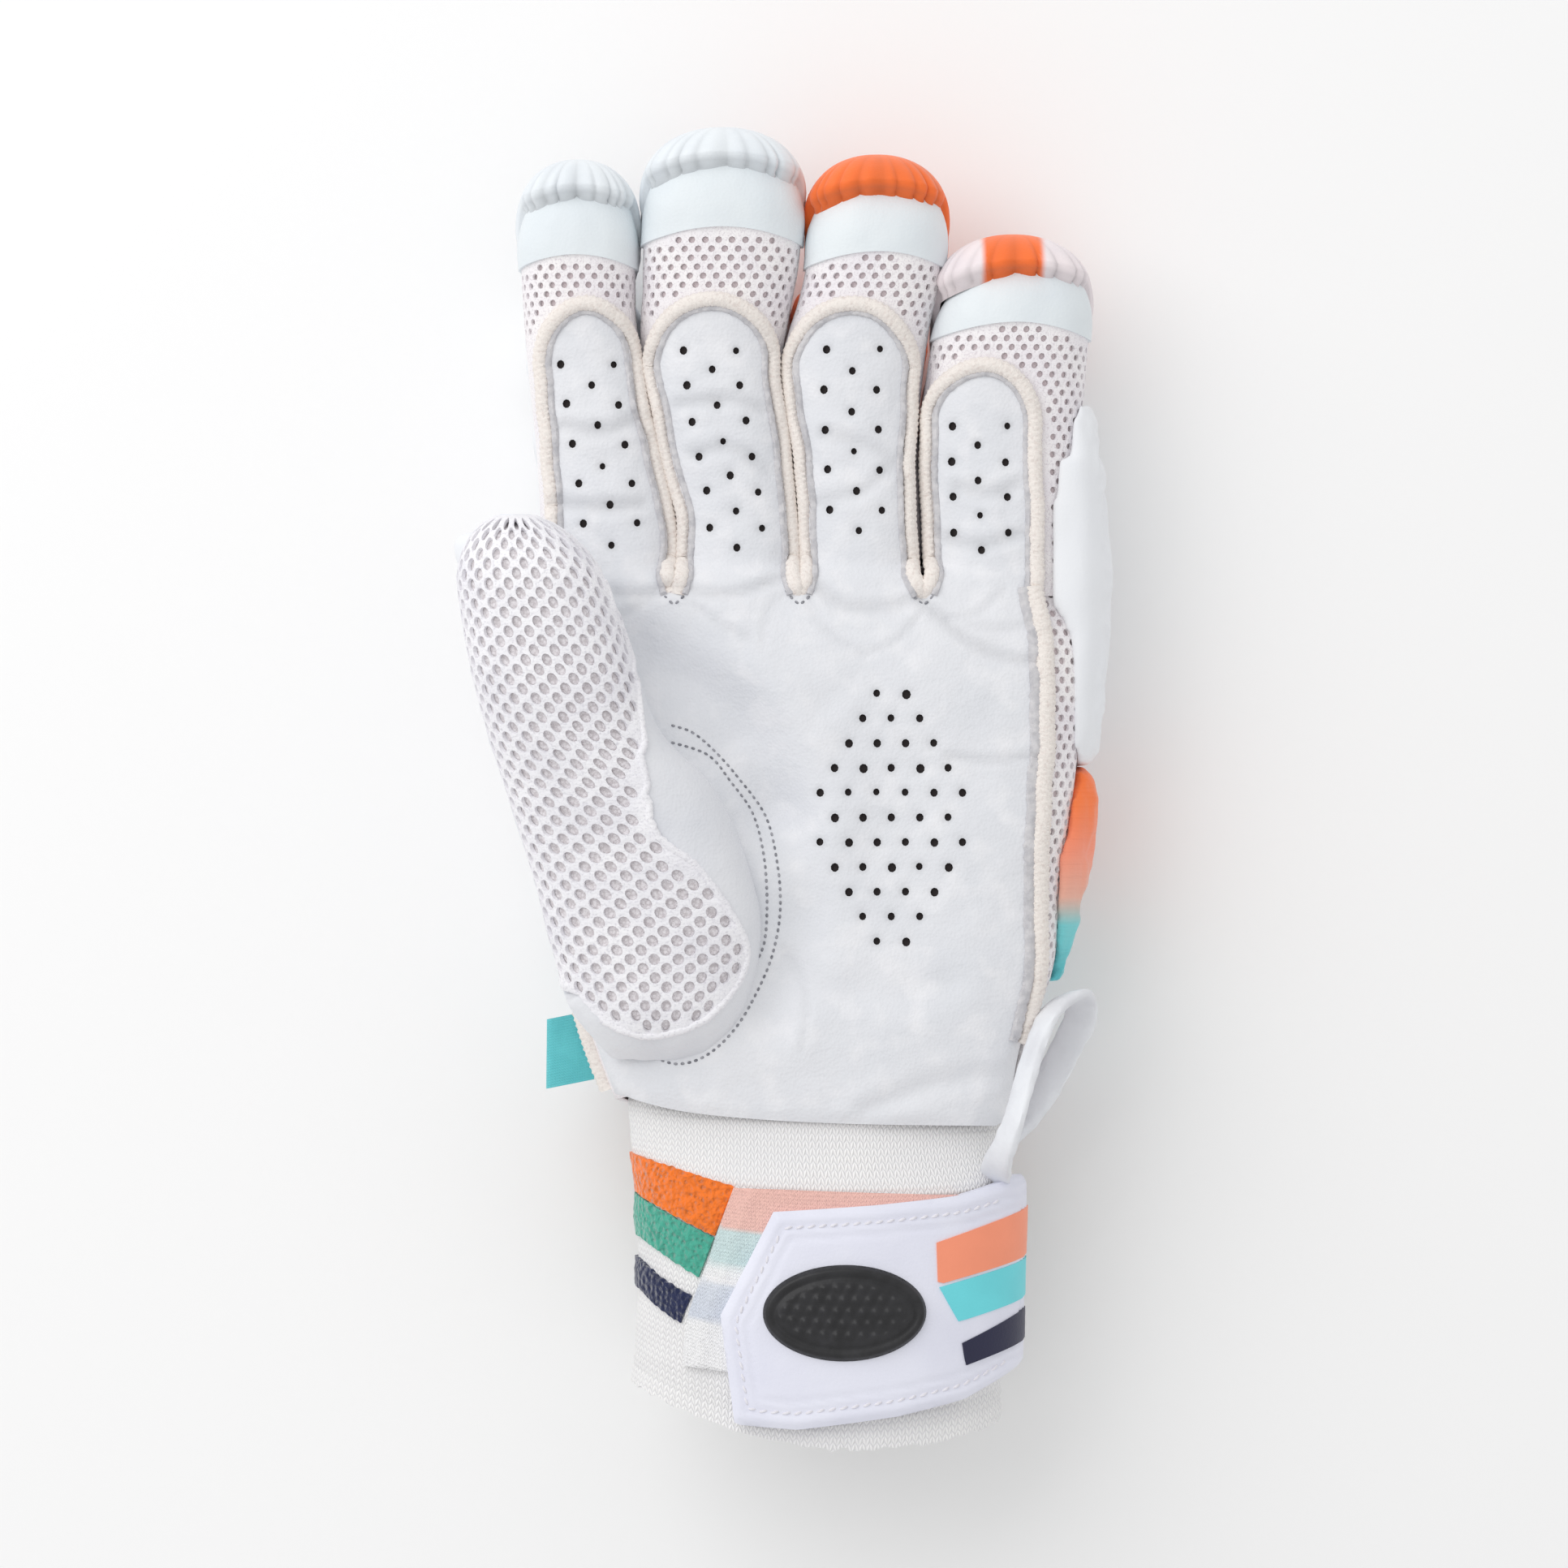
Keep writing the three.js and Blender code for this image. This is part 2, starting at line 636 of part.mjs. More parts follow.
for (const finger of FINGERS) {
  const tip = fingerTip(finger);
  const laneSpace = lanePrism(finger, GAP / 2);
  const mine = behind.intersect(laneSpace);
  const wrapCrown = tip - WRAP_LENGTH * finger.wrap;
  const rollCrown = tip - ROLL_LENGTH;
  const fingerSpace = box(-FAR, FAR, ROOT_Y, FAR, -FAR, FAR);
  const gusset = mine
    .intersect(fingerSpace)
    .subtract(beyondArch(finger, wrapCrown, WRAP_BOW, -GAP));
  add(`${finger.name}_gusset`, mainBody(gusset), MESH_WHITE, 0.85);
  const wrap = mine.intersect(beyondArch(finger, wrapCrown, WRAP_BOW, 0));
  add(`${finger.name}_tip_wrap`, mainBody(wrap), WRAP_WHITE, 0.6);

  // The gathered cap: a dome whose skin is drawn into pleats
  const capRings = DOME.map((share) => {
    const y = tip - BACK_ROLL_LENGTH + share * (BACK_ROLL_LENGTH + LEATHER_WALL + TIP_ROLL);
    const section = fingerSection(finger, Math.min(y, tip));
    const size = Math.max(0.2, (1 - share ** 3.2) ** 0.5);
    const points = [];
    const sides = PLEATS * 2;
    for (let step = 0; step < sides; step += 1) {
      const angle = (2 * Math.PI * (step + 0.5)) / sides;
      const pleat = step % 2 ? 0 : -PLEAT_DEPTH;
      const across = Math.sign(Math.cos(angle)) * Math.abs(Math.cos(angle)) ** 0.8;
      const up = Math.sign(Math.sin(angle)) * Math.abs(Math.sin(angle)) ** 0.8;
      const wide = (section.halfWidth + LEATHER_WALL + 1 + pleat) * size;
      const deep = (section.halfDepth + LEATHER_WALL + TIP_ROLL + pleat) * size;
      points.push(new THREE.Vector3(section.x + across * wide, y, section.z + up * deep));
    }
    return points;
  });
  const capFront = beyondArch(finger, rollCrown, WRAP_BOW, 0);
  const capZ = fingerSection(finger, tip).z - FINGER_DEPTH * 0.15;
  const capBack = box(-FAR, FAR, tip - BACK_ROLL_LENGTH, FAR, -FAR, capZ);
  const cap = loft(capRings).intersect(capFront.add(capBack)).subtract(fingerForm(finger, LEATHER_WALL + GAP));
  add(`${finger.name}_tip_roll`, mainBody(cap.intersect(laneSpace)), rollColour(finger, ROLL_COUNT - 1), 0.8);

  // Back rolls between the finger root and the tip roll
  const rollStart = ROOT_Y - 2;
  const rollSpan = (tip - BACK_ROLL_LENGTH - GAP - rollStart) / ROLL_COUNT;
  for (let count = 0; count < ROLL_COUNT; count += 1) {
    const y = rollStart + (count + 0.5) * rollSpan;
    const section = fingerSection(finger, y);
    const under = section.z - section.halfDepth - LEATHER_WALL - GAP;
    const top = under + ROLL_WRAP;
    const low = under - PAD_HEIGHT - 1;
    const centre = { x: section.x, y, z: (top + low) / 2 };
    const halfWidth = section.halfWidth + LEATHER_WALL + GAP;
    const body = roll(centre, halfWidth, rollSpan / 2 - GAP / 2, (top - low) / 2);
    const seated = body
      .intersect(laneSpace)
      .subtract(handClear)
      .subtract(sideClear)
      .intersect(aboveFloor);
    add(`${finger.name}_roll_${count + 1}`, mainBody(seated), rollColour(finger, count), 0.8);
  }

  // Knitted binding over the arched seam between tongue and gusset
  const seam = tongue(finger, 0).slice(1, -1);
  const path = seam.map(([x, y]) => new THREE.Vector3(x, y, frontZ(x, y) + BINDING_RADIUS * 0.4));
  const rope = tube(path, BINDING_RADIUS * 2, BINDING_RADIUS * 2, 4, 10);
  const binding = mainBody(rope.subtract(handClear).intersect(laneSpace).subtract(sideClear));
  bindings.push(binding);
  add(`${finger.name}_binding`, binding, CREAM, 0.85);
}

// Rolls across the back of the hand, in two columns
const BACK_ROWS = 4;
const BACK_GAP_X = 0.045;
const backSpan = (ROOT_Y - 2 - GAP - HEM_Y - CUFF_TUCK) / BACK_ROWS;
for (let row = 0; row < BACK_ROWS; row += 1) {
  const y = HEM_Y + CUFF_TUCK + (row + 0.5) * backSpan;
  const section = palmSection(y);
  const under = section.z - section.halfDepth - LEATHER_WALL - GAP;
  const top = under + ROLL_WRAP;
  const low = under - PAD_HEIGHT - 1;
  const middle = BACK_GAP_X * PALM_WIDTH;
  const reach = section.halfWidth + LEATHER_WALL;
  for (const [label, from, to] of [
    ["inner", section.x - reach, middle - GAP / 2],
    ["outer", middle + GAP / 2, section.x + reach],
  ]) {
    const centre = { x: (from + to) / 2, y, z: (top + low) / 2 };
    const body = roll(centre, (to - from) / 2, backSpan / 2 - GAP / 2, (top - low) / 2);
    const seated = body.subtract(handClear).subtract(sideClear).intersect(aboveFloor);
    add(`back_roll_${row + 1}_${label}`, mainBody(seated), row % 2 ? WHITE : WRAP_WHITE, 0.8);
  }
}

// Thumb: mesh front, leather round its base and inner edge, fabric back with pads
const MESH_ROWS = [
  { along: 0.05, left: 0.08, right: 0.3 },
  { along: 0.13, left: 0.02, right: 0.16 },
  { along: 0.27, left: -0.1, right: 0.11 },
  { along: 0.4, left: -0.1, right: 0.2 },
  { along: 0.5, left: -0.1, right: 0.32 },
  { along: 0.62, left: -0.1, right: 0.1 },
  { along: 0.82, left: -0.1, right: 0.08 },
  { along: 0.9, left: -0.1, right: -0.1 },
  { along: 1.1, left: -0.1, right: -0.1 },
];

function meshPanel(grow) {
  const left = [];
  const right = [];
  for (const row of MESH_ROWS) {
    const y = THUMB_Y + row.along * THUMB_LENGTH - (row.along < 0.1 ? grow : 0);
    const section = thumbSection(y);
    const reach = section.halfWidth + LEATHER_WALL;
    left.push([section.x - reach + row.left * THUMB_WIDTH - grow, y]);
    right.push([section.x + reach - row.right * THUMB_WIDTH + grow, y]);
  }
  return [...left, ...right.reverse()];
}

function thumbFrontSpace(shift) {
  const rings = THUMB_ROWS.map((row) => {
    const y = THUMB_Y + row.along * THUMB_LENGTH;
    const section = thumbSection(y);
    const low = section.z + shift;
    const at = row.along === 0 ? y - 20 : row.along === 1 ? y + 20 : y;
    return [
      new THREE.Vector3(-FAR / 2, at, low),
      new THREE.Vector3(-FAR / 2, at, FAR),
      new THREE.Vector3(FAR / 2, at, FAR),
      new THREE.Vector3(FAR / 2, at, low),
    ];
  });
  return loft(rings);
}

const thumbFront = thumbShell.intersect(thumbFrontSpace(0));
add("thumb_mesh", mainBody(thumbFront.intersect(prism(meshPanel(0)))), MESH_WHITE, 0.9);
add("thumb_leather", mainBody(thumbFront.subtract(prism(meshPanel(GAP)))), LEATHER, 0.7);
add("thumb_back", mainBody(thumbShell.subtract(thumbFrontSpace(-GAP))), WHITE, 0.8);

const THUMB_ROLLS = 3;
const THUMB_PAD = 9;
const thumbRollStart = THUMB_Y + THUMB_LENGTH * 0.5;
const thumbRollSpan = (THUMB_LENGTH * 0.48) / THUMB_ROLLS;
for (let count = 0; count < THUMB_ROLLS; count += 1) {
  const y = thumbRollStart + (count + 0.5) * thumbRollSpan;
  const section = thumbSection(y);
  const centre = {
    x: section.x - section.halfWidth * 0.42,
    y,
    z: section.z - section.halfDepth * 0.9,
  };
  const body = roll(centre, section.halfWidth * 0.62, thumbRollSpan / 2 - GAP / 2, THUMB_PAD, -0.36);
  const seated = mainBody(body.subtract(thumbClear).subtract(handClear));
  add(`thumb_roll_${count + 1}`, seated, WHITE, 0.8);
}

// Bindings along the palm's outer seam and its thumb-side edge
const outerPath = [0.16, 0.3, 0.45, 0.6, 0.75, 0.88, 0.97].map((along) => {
  const y = HEM_Y + along * PALM_LENGTH;
  return new THREE.Vector3(outerSeam(y), y, frontZ(outerSeam(y), y) + BINDING_RADIUS * 0.4);
});
const outerRope = tube(outerPath, BINDING_RADIUS * 2.6, BINDING_RADIUS * 2, 4, 7);
const clearOfBindings = (solid) =>
  bindings.reduce((kept, binding) => kept.subtract(binding), solid);
add(
  "outer_binding",
  mainBody(clearOfBindings(outerRope.subtract(handClear).subtract(sideClear))),
  CREAM,
  0.85,
);

const edgePath = [0.02, 0.1, 0.18, 0.27, 0.36].map((along) => {
  const y = HEM_Y + along * PALM_LENGTH;
  const section = palmSection(y);
  const x = section.x - section.halfWidth - LEATHER_WALL - BINDING_RADIUS * 0.2;
  return new THREE.Vector3(x, y, section.z);
});
const edgeRope = tube(edgePath, BINDING_RADIUS * 2.4, BINDING_RADIUS * 2, 6, 8);
const edgeBinding = mainBody(edgeRope.subtract(handClear).subtract(thumbClear));
add("thumb_side_binding", edgeBinding, CREAM, 0.85);

// Knit cuff, tucked inside the hem
add("wrist_cuff", cuffForm(0).subtract(cuffForm(-CUFF_WALL, 2)), KNIT, 0.95);

// Layers on the front of the cuff: loop tape, then the closing strap, then its grip patch
const STRAP_OUTLINE = [
  { along: 0.17, up: 0.45 },
  { along: 0.0, up: -0.03 },
  { along: 0.045, up: -0.53 },
  { along: 0.25, up: -0.54 },
  { along: 0.6, up: -0.48 },
  { along: 0.8, up: -0.42 },
  { along: 1.4, up: -0.2 },
  { along: 1.4, up: 0.58 },
  { along: 0.97, up: 0.6 },
  { along: 0.5, up: 0.5 },
];
const TAPE_OUTLINE = [
  { along: 0.16, up: 0.5 },
  { along: 0.0, up: -0.5 },
  { along: 1.3, up: -0.5 },
  { along: 1.3, up: 0.5 },
];
const TAPE_X = -21;
const TAPE_Y = -101;
const frontOfCuff = box(-FAR, FAR, -FAR, HEM_Y - GAP, CUFF_Z - CUFF_DEPTH * 0.1, FAR);

function cuffLayer(outline, x, y, length, height, from, wall) {
  const plan = outline.map((point) => [x + point.along * length, y + point.up * height]);
  const layer = cuffForm(from + wall, 4).subtract(cuffForm(from, 5));
  return mainBody(layer.intersect(prism(plan)).intersect(frontOfCuff));
}

const tape = cuffLayer(TAPE_OUTLINE, TAPE_X, TAPE_Y, TAPE_LENGTH, TAPE_HEIGHT, GAP, TAPE_WALL);
add("loop_tape", tape, PINK, 0.95);
const strapFrom = 2 * GAP + TAPE_WALL;
const strap = cuffLayer(STRAP_OUTLINE, STRAP_X, STRAP_Y, STRAP_LENGTH, STRAP_HEIGHT, strapFrom, STRAP_WALL);
add("wrist_strap", strap, STRAP_LILAC, 0.6);
const gripOutline = [];
const GRIP_CORNERS = 12;
for (let step = 0; step < GRIP_CORNERS; step += 1) {
  const angle = (2 * Math.PI * step) / GRIP_CORNERS;
  gripOutline.push({ along: Math.cos(angle) / 2, up: Math.sin(angle) / 2 });
}
const GRIP_X = 12;
const gripFrom = strapFrom + STRAP_WALL + GAP;
const grip = cuffLayer(gripOutline, GRIP_X, STRAP_Y, GRIP_LENGTH, GRIP_HEIGHT, gripFrom, GRIP_WALL);
add("grip_patch", grip, BLACK, 0.5);

// Padded loop at the outer end of the strap
const LOOP_PATH = [
  [44.5, -79, 51],
  [47.5, -70, 53],
  [51.5, -57, 48],
  [55.5, -48.5, 43],
  [61.5, -45, 36],
  [64, -49, 31],
  [61, -57, 28],
  [57, -65, 27],
  [52, -74, 27],
].map(([x, y, z]) => new THREE.Vector3(x, y, z));
const loopRope = tube(LOOP_PATH, LOOP_WIDTH, LOOP_THICKNESS, 6, 12);
const strapClear = cuffForm(strapFrom + STRAP_WALL + GAP, 4);
const loopCut = loopRope.subtract(handClear).subtract(cuffClear).subtract(outerRoll(GAP)).subtract(
  strapClear.intersect(box(-FAR, FAR, -FAR, HEM_Y - GAP, CUFF_Z, FAR)),
);
add("side_loop", mainBody(loopCut), WHITE, 0.7);

// Folded ribbon tab under the thumb-side edge
const tabY = HEM_Y + PALM_LENGTH * 0.12;
const tabSection = palmSection(tabY);
const tabGeometry = new THREE.BoxGeometry(TAB_WIDTH, TAB_LENGTH, TAB_THICKNESS);
tabGeometry.rotateZ(-0.2);
const tabX = tabSection.x - tabSection.halfWidth - LEATHER_WALL - TAB_WIDTH * 0.5;
tabGeometry.translate(tabX, tabY, tabSection.z - BINDING_RADIUS * 2 - TAB_THICKNESS);
const tab = solidOf(tabGeometry).subtract(handClear).subtract(edgeBinding);
add("ribbon_tab", mainBody(tab), TEAL, 0.6);

// The origin is under the middle of the glove, on the floor
const bounds = new THREE.Box3().setFromObject(glove);
glove.position.set(-(bounds.min.x + bounds.max.x) / 2, -(bounds.min.y + bounds.max.y) / 2, -bounds.min.z);

export default glove;
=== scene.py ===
import math
import bpy
import numpy as np
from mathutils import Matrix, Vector, kdtree, noise
from mathutils.geometry import delaunay_2d_cdt


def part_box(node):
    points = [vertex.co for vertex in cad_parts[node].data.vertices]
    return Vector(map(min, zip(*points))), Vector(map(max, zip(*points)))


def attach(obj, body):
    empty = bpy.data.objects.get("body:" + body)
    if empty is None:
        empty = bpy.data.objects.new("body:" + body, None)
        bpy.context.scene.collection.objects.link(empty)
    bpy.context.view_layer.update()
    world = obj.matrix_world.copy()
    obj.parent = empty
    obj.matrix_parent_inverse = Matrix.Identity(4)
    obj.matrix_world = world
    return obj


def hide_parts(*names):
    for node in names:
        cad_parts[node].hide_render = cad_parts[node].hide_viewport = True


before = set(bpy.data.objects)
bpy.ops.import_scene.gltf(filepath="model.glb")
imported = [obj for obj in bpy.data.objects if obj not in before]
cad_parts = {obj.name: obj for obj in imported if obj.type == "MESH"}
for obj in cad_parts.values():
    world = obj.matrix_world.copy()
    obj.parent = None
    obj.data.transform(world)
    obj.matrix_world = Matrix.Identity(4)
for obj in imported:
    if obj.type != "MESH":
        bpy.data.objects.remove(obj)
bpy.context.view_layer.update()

# Camera, straight above the glove as it lies palm up. One pixel of the
# photograph is 0.171 mm at the height of the palm.
MM = 0.001
PHOTO_PIXELS = 1932
PIXEL_SIZE = 0.171 * MM
PALM_HEIGHT = 45 * MM
CAMERA_DISTANCE = 1.0
VIEW_WIDTH = PHOTO_PIXELS * PIXEL_SIZE
SENSOR = 36.0
camera_data = bpy.data.cameras.new("camera")
camera_data.sensor_width = SENSOR
camera_data.lens = SENSOR * CAMERA_DISTANCE / VIEW_WIDTH
camera_data.clip_start = 0.01
camera = bpy.data.objects.new("camera", camera_data)
camera.location = (0, 0, PALM_HEIGHT + CAMERA_DISTANCE)
bpy.context.scene.collection.objects.link(camera)
bpy.context.scene.camera = camera

# Pale floor and soft studio light: a bright even surround with one large lamp
# at the upper left, so that the white leather keeps its form.
FLOOR_SIZE = 6.0
FLOOR_WHITE = 0.97
SURROUND = 0.74
KEY_PLACE = (-0.68, 0.68, 0.92)
KEY_SIZE = 1.2
KEY_POWER = 7.4
bpy.context.scene.view_settings.view_transform = "Standard"
world = bpy.data.worlds.new("studio")
world.use_nodes = True
surround = world.node_tree.nodes["Background"].inputs
surround["Color"].default_value = (1, 1, 1, 1)
surround["Strength"].default_value = SURROUND
bpy.context.scene.world = world
key_light = bpy.data.lights.new("key_lamp", "AREA")
key_light.size = KEY_SIZE
key_light.energy = KEY_POWER
key_lamp = bpy.data.objects.new("key_lamp", key_light)
key_lamp.location = KEY_PLACE
key_lamp.rotation_euler = (-Vector(KEY_PLACE)).to_track_quat("-Z", "Y").to_euler()
bpy.context.scene.collection.objects.link(key_lamp)
floor_mesh = bpy.data.meshes.new("floor")
half = FLOOR_SIZE / 2
corners = [(-half, -half, 0), (half, -half, 0), (half, half, 0), (-half, half, 0)]
floor_mesh.from_pydata(corners, [], [(0, 1, 2, 3)])
floor = bpy.data.objects.new("floor", floor_mesh)
bpy.context.scene.collection.objects.link(floor)
floor_paper = bpy.data.materials.new("floor_paper")
floor_paper.use_nodes = True
paper = floor_paper.node_tree.nodes["Principled BSDF"].inputs
paper["Base Color"].default_value = (FLOOR_WHITE, FLOOR_WHITE, FLOOR_WHITE, 1)
paper["Roughness"].default_value = 0.9
floor_mesh.materials.append(floor_paper)

# Hand body: the fine mesh that makes the sides and back of the hand, sewn to
# the palm along the seams and lined with a brushed backing. Its sheets, like
# all the others, are laid over one hand form, in millimetres from the middle.
CENTRE = (0.627, -0.056, 0.0)
WALL = 1.6
GAP = 0.3
HEM_Y = -70.0
PALM_LENGTH = 116.0
PALM_WIDTH = 114.0
PALM_DEPTH = 32.0
PALM_POWER = 2.7
PALM_END = HEM_Y + PALM_LENGTH
ROW_RISE = 0.866
PAD_HEIGHT = 15.0
HAND_BASE = PAD_HEIGHT + GAP + WALL
PALM = {
    "along": [0.0, 0.138, 0.259, 0.431, 0.603, 0.845, 1.0],
    "centre": [0.057, 0.044, 0.048, 0.04, 0.043, 0.047, 0.047],
    "width": [0.718, 0.796, 0.875, 0.93, 0.97, 1.0, 1.0],
    "depth": [0.95, 1.0, 1.0, 0.98, 0.95, 0.85, 0.62],
    "hollow": [0.0, 0.04, 0.1, 0.14, 0.14, 0.06, 0.0],
}
OUTER_SEAM = {"along": [0.16, 0.34, 0.65, 0.84, 1.03], "inset": [0.02, 0.045, 0.072, 0.085, 0.115]}


def between(table, along, column):
    # Reads a table of shares along a smooth curve through its rows
    stops = np.array(table["along"])
    values = np.array(table[column])
    slopes = np.gradient(values, stops)
    place = np.clip(np.asarray(along, float), stops[0], stops[-1])
    after = np.clip(np.searchsorted(stops, place), 1, len(stops) - 1)
    before = after - 1
    span = stops[after] - stops[before]
    t = (place - stops[before]) / span
    start = values[before] * (2 * t**3 - 3 * t**2 + 1) + slopes[before] * span * (t**3 - 2 * t**2 + t)
    end = values[after] * (3 * t**2 - 2 * t**3) + slopes[after] * span * (t**3 - t**2)
    return start + end


def palm_section(y):
    along = (np.asarray(y, float) - HEM_Y) / PALM_LENGTH
    depth = between(PALM, along, "depth") * PALM_DEPTH
    return {
        "x": between(PALM, along, "centre") * PALM_WIDTH,
        "z": HAND_BASE + depth / 2,
        "half_width": between(PALM, along, "width") * PALM_WIDTH / 2,
        "half_depth": depth / 2,
        "hollow": between(PALM, along, "hollow") * PALM_DEPTH,
    }


def outer_seam(y):
    along = (np.asarray(y, float) - HEM_Y) / PALM_LENGTH
    section = palm_section(y)
    return section["x"] + section["half_width"] + WALL - between(OUTER_SEAM, along, "inset") * PALM_WIDTH


def section_ring(section, power, grow, count):
    # Points evenly spaced round one section, from the middle of the back
    angle = np.linspace(-math.pi / 2, 1.5 * math.pi, 361)
    across = np.sign(np.cos(angle)) * np.abs(np.cos(angle)) ** (2 / power)
    up = np.sign(np.sin(angle)) * np.abs(np.sin(angle)) ** (2 / power)
    x = section["x"] + across * (section["half_width"] + grow)
    dent = np.where(up > 0, section.get("hollow", 0) * up * (1 - across**2), 0)
    z = section["z"] + up * (section["half_depth"] + grow) - dent
    reach = np.concatenate([[0], np.cumsum(np.hypot(np.diff(x), np.diff(z)))])
    even = np.linspace(0, reach[-1], count)
    return np.interp(even, reach, x), np.interp(even, reach, z), reach[-1]


def skin_over(section_at, lines, power, grow=0, bend=None, count=181):
    # A smooth skin over many sections, that cloth is laid on
    rows = []
    rounds = []
    for line in lines:
        section = section_at(line)
        x, z, length = section_ring(section, power, grow, count)
        y = np.full(count, float(line)) if bend is None else bend(x, line, section, grow)
        rows.append(np.stack([x, y, z], axis=1))
        rounds.append(length)
    grid = np.array(rows)
    normal = np.cross(np.gradient(grid, axis=0), np.gradient(grid, axis=1))
    normal /= np.maximum(np.linalg.norm(normal, axis=2, keepdims=True), 1e-9)
    if normal[len(lines) // 3, count // 4, 0] < 0:
        normal = -normal
    lines = np.array(lines, float)
    return {"grid": grid, "normal": normal, "lines": lines, "girth": float(np.mean(rounds))}


def on_skin(skin, share, line, lift=0.0):
    # Places at a share of the way round and a line along, lifted off the skin
    grid = skin["grid"]
    rows, columns = grid.shape[:2]
    row = np.interp(line, skin["lines"], np.arange(rows))
    column = np.mod(np.asarray(share, float), 1.0) * (columns - 1)
    row0 = np.clip(row.astype(int), 0, rows - 2)
    column0 = np.clip(column.astype(int), 0, columns - 2)
    v = (row - row0)[:, None]
    u = (column - column0)[:, None]

    def mix(field):
        low = field[row0, column0] * (1 - u) + field[row0, column0 + 1] * u
        high = field[row0 + 1, column0] * (1 - u) + field[row0 + 1, column0 + 1] * u
        return low * (1 - v) + high * v

    return mix(grid) + mix(skin["normal"]) * np.reshape(lift, (-1, 1))


def share_over(skin, x, line):
    # The share of the way round at which the skin's front lies over x
    x = np.atleast_1d(np.asarray(x, float))
    line = np.atleast_1d(np.asarray(line, float))
    count = len(skin["lines"])
    rows = np.rint(np.interp(line, skin["lines"], np.arange(count))).astype(int)
    columns = skin["grid"].shape[1]
    steps = np.arange(columns // 4, columns - columns // 4)[::-1]
    share = np.zeros(len(x))
    for row in np.unique(rows):
        here = rows == row
        across = np.maximum.accumulate(skin["grid"][row, steps, 0])
        share[here] = np.interp(x[here], across, steps / (columns - 1))
    return share


def within(points, outline):
    # Which flat points lie inside a closed outline
    x, y = points[:, 0], points[:, 1]
    odd = np.zeros(len(points), bool)
    ring = np.asarray(outline, float)
    for (x0, y0), (x1, y1) in zip(ring, np.roll(ring, -1, axis=0)):
        if y0 == y1:
            continue
        crosses = (y0 > y) != (y1 > y)
        odd ^= crosses & (x < x0 + (y - y0) * (x1 - x0) / (y1 - y0))
    return odd


def near_path(points, path, closed=False):
    # Distance of each flat point from a line of straight stretches
    best = np.full(len(points), 1e9)
    path = np.asarray(path, float)
    ends = np.roll(path, -1, axis=0) if closed else path[1:]
    for start, end in zip(path, ends):
        run = end - start
        length = float(run @ run)
        if length < 1e-12:
            continue
        rel = points - start
        t = np.clip(rel @ run / length, 0, 1)
        best = np.minimum(best, np.linalg.norm(rel - t[:, None] * run, axis=1))
    return best


def hole_place(points, middles, reach):
    # How far each flat point lies from its nearest hole, 1 on the hole's edge
    tree = kdtree.KDTree(len(middles))
    for at, (x, y) in enumerate(middles):
        tree.insert((x, y, 0), at)
    tree.balance()
    near = np.array([tree.find((x, y, 0))[1] for x, y in points], dtype=int)
    return np.linalg.norm((points - middles[near]) / reach[near], axis=1)


def staggered(pattern, pitch, rise, start):
    # Offset rows of points over a flat pattern, wherever they lie inside it
    low, high = pattern.min(axis=0), pattern.max(axis=0)
    rows = []
    for row in range(1, int((high[1] - low[1]) / (pitch * rise)) + 1):
        xs = np.arange(low[0] + pitch * (start + 0.5 * (row % 2)), high[0], pitch)
        rows.append(np.column_stack([xs, np.full(len(xs), low[1] + row * pitch * rise)]))
    spots = np.concatenate(rows)
    return spots[within(spots, pattern)]


def cut_sheet(outline, holes, spacing):
    # A flat pattern piece: its outline, its holes and an even fill of points
    outline = np.asarray(outline, float)
    points = [tuple(p) for p in outline]
    loops = [list(range(len(outline)))]
    for hole in holes:
        start = len(points)
        points.extend(tuple(p) for p in hole)
        loops.append(list(range(start, len(points))))
    fill = staggered(outline, spacing, ROW_RISE, 0.3)
    fill = fill[near_path(fill, outline, True) > spacing * 0.4]
    middles = np.array([np.mean(hole, axis=0) for hole in holes]).reshape(-1, 2)
    if len(holes):
        reach = np.array([np.abs(hole - middle).max(axis=0) for hole, middle in zip(holes, middles)])
        fill = fill[hole_place(fill, middles, reach) > 1.25]
    points.extend((float(x), float(y)) for x, y in fill)
    edges = []
    for loop in loops:
        edges.extend((loop[at], loop[(at + 1) % len(loop)]) for at in range(len(loop)))
    result = delaunay_2d_cdt([Vector(p) for p in points], edges, [], 2, 1e-5)
    flat = np.array([[v.x, v.y] for v in result[0]])
    faces = np.array([list(f) for f in result[2] if len(f) == 3])
    if len(holes):
        faces = faces[hole_place(flat[faces].mean(axis=1), middles, reach) > 0.93]
    used = np.unique(faces)
    place = np.full(len(flat), -1)
    place[used] = np.arange(len(used))
    return flat[used], place[faces]


def thicken(top, bottom, faces):
    # A sheet with thickness: its face side, its flesh side and its cut edges
    count = len(top)
    first = top[faces[:, 0]]
    upward = np.cross(top[faces[:, 1]] - first, top[faces[:, 2]] - first)
    flip = np.einsum("ij,ij->i", upward, (top - bottom)[faces[:, 0]]) < 0
    faces = faces.copy()
    faces[flip] = faces[flip][:, ::-1]
    edges = np.concatenate([faces[:, [0, 1]], faces[:, [1, 2]], faces[:, [2, 0]]])
    seen = {tuple(e) for e in edges.tolist()}
    rims = [(b, a, a + count, b + count) for a, b in seen if (b, a) not in seen]
    under = faces[:, ::-1] + count
    every = [tuple(f) for f in faces.tolist()] + [tuple(f) for f in under.tolist()] + sorted(rims)
    return np.concatenate([top, bottom]), every


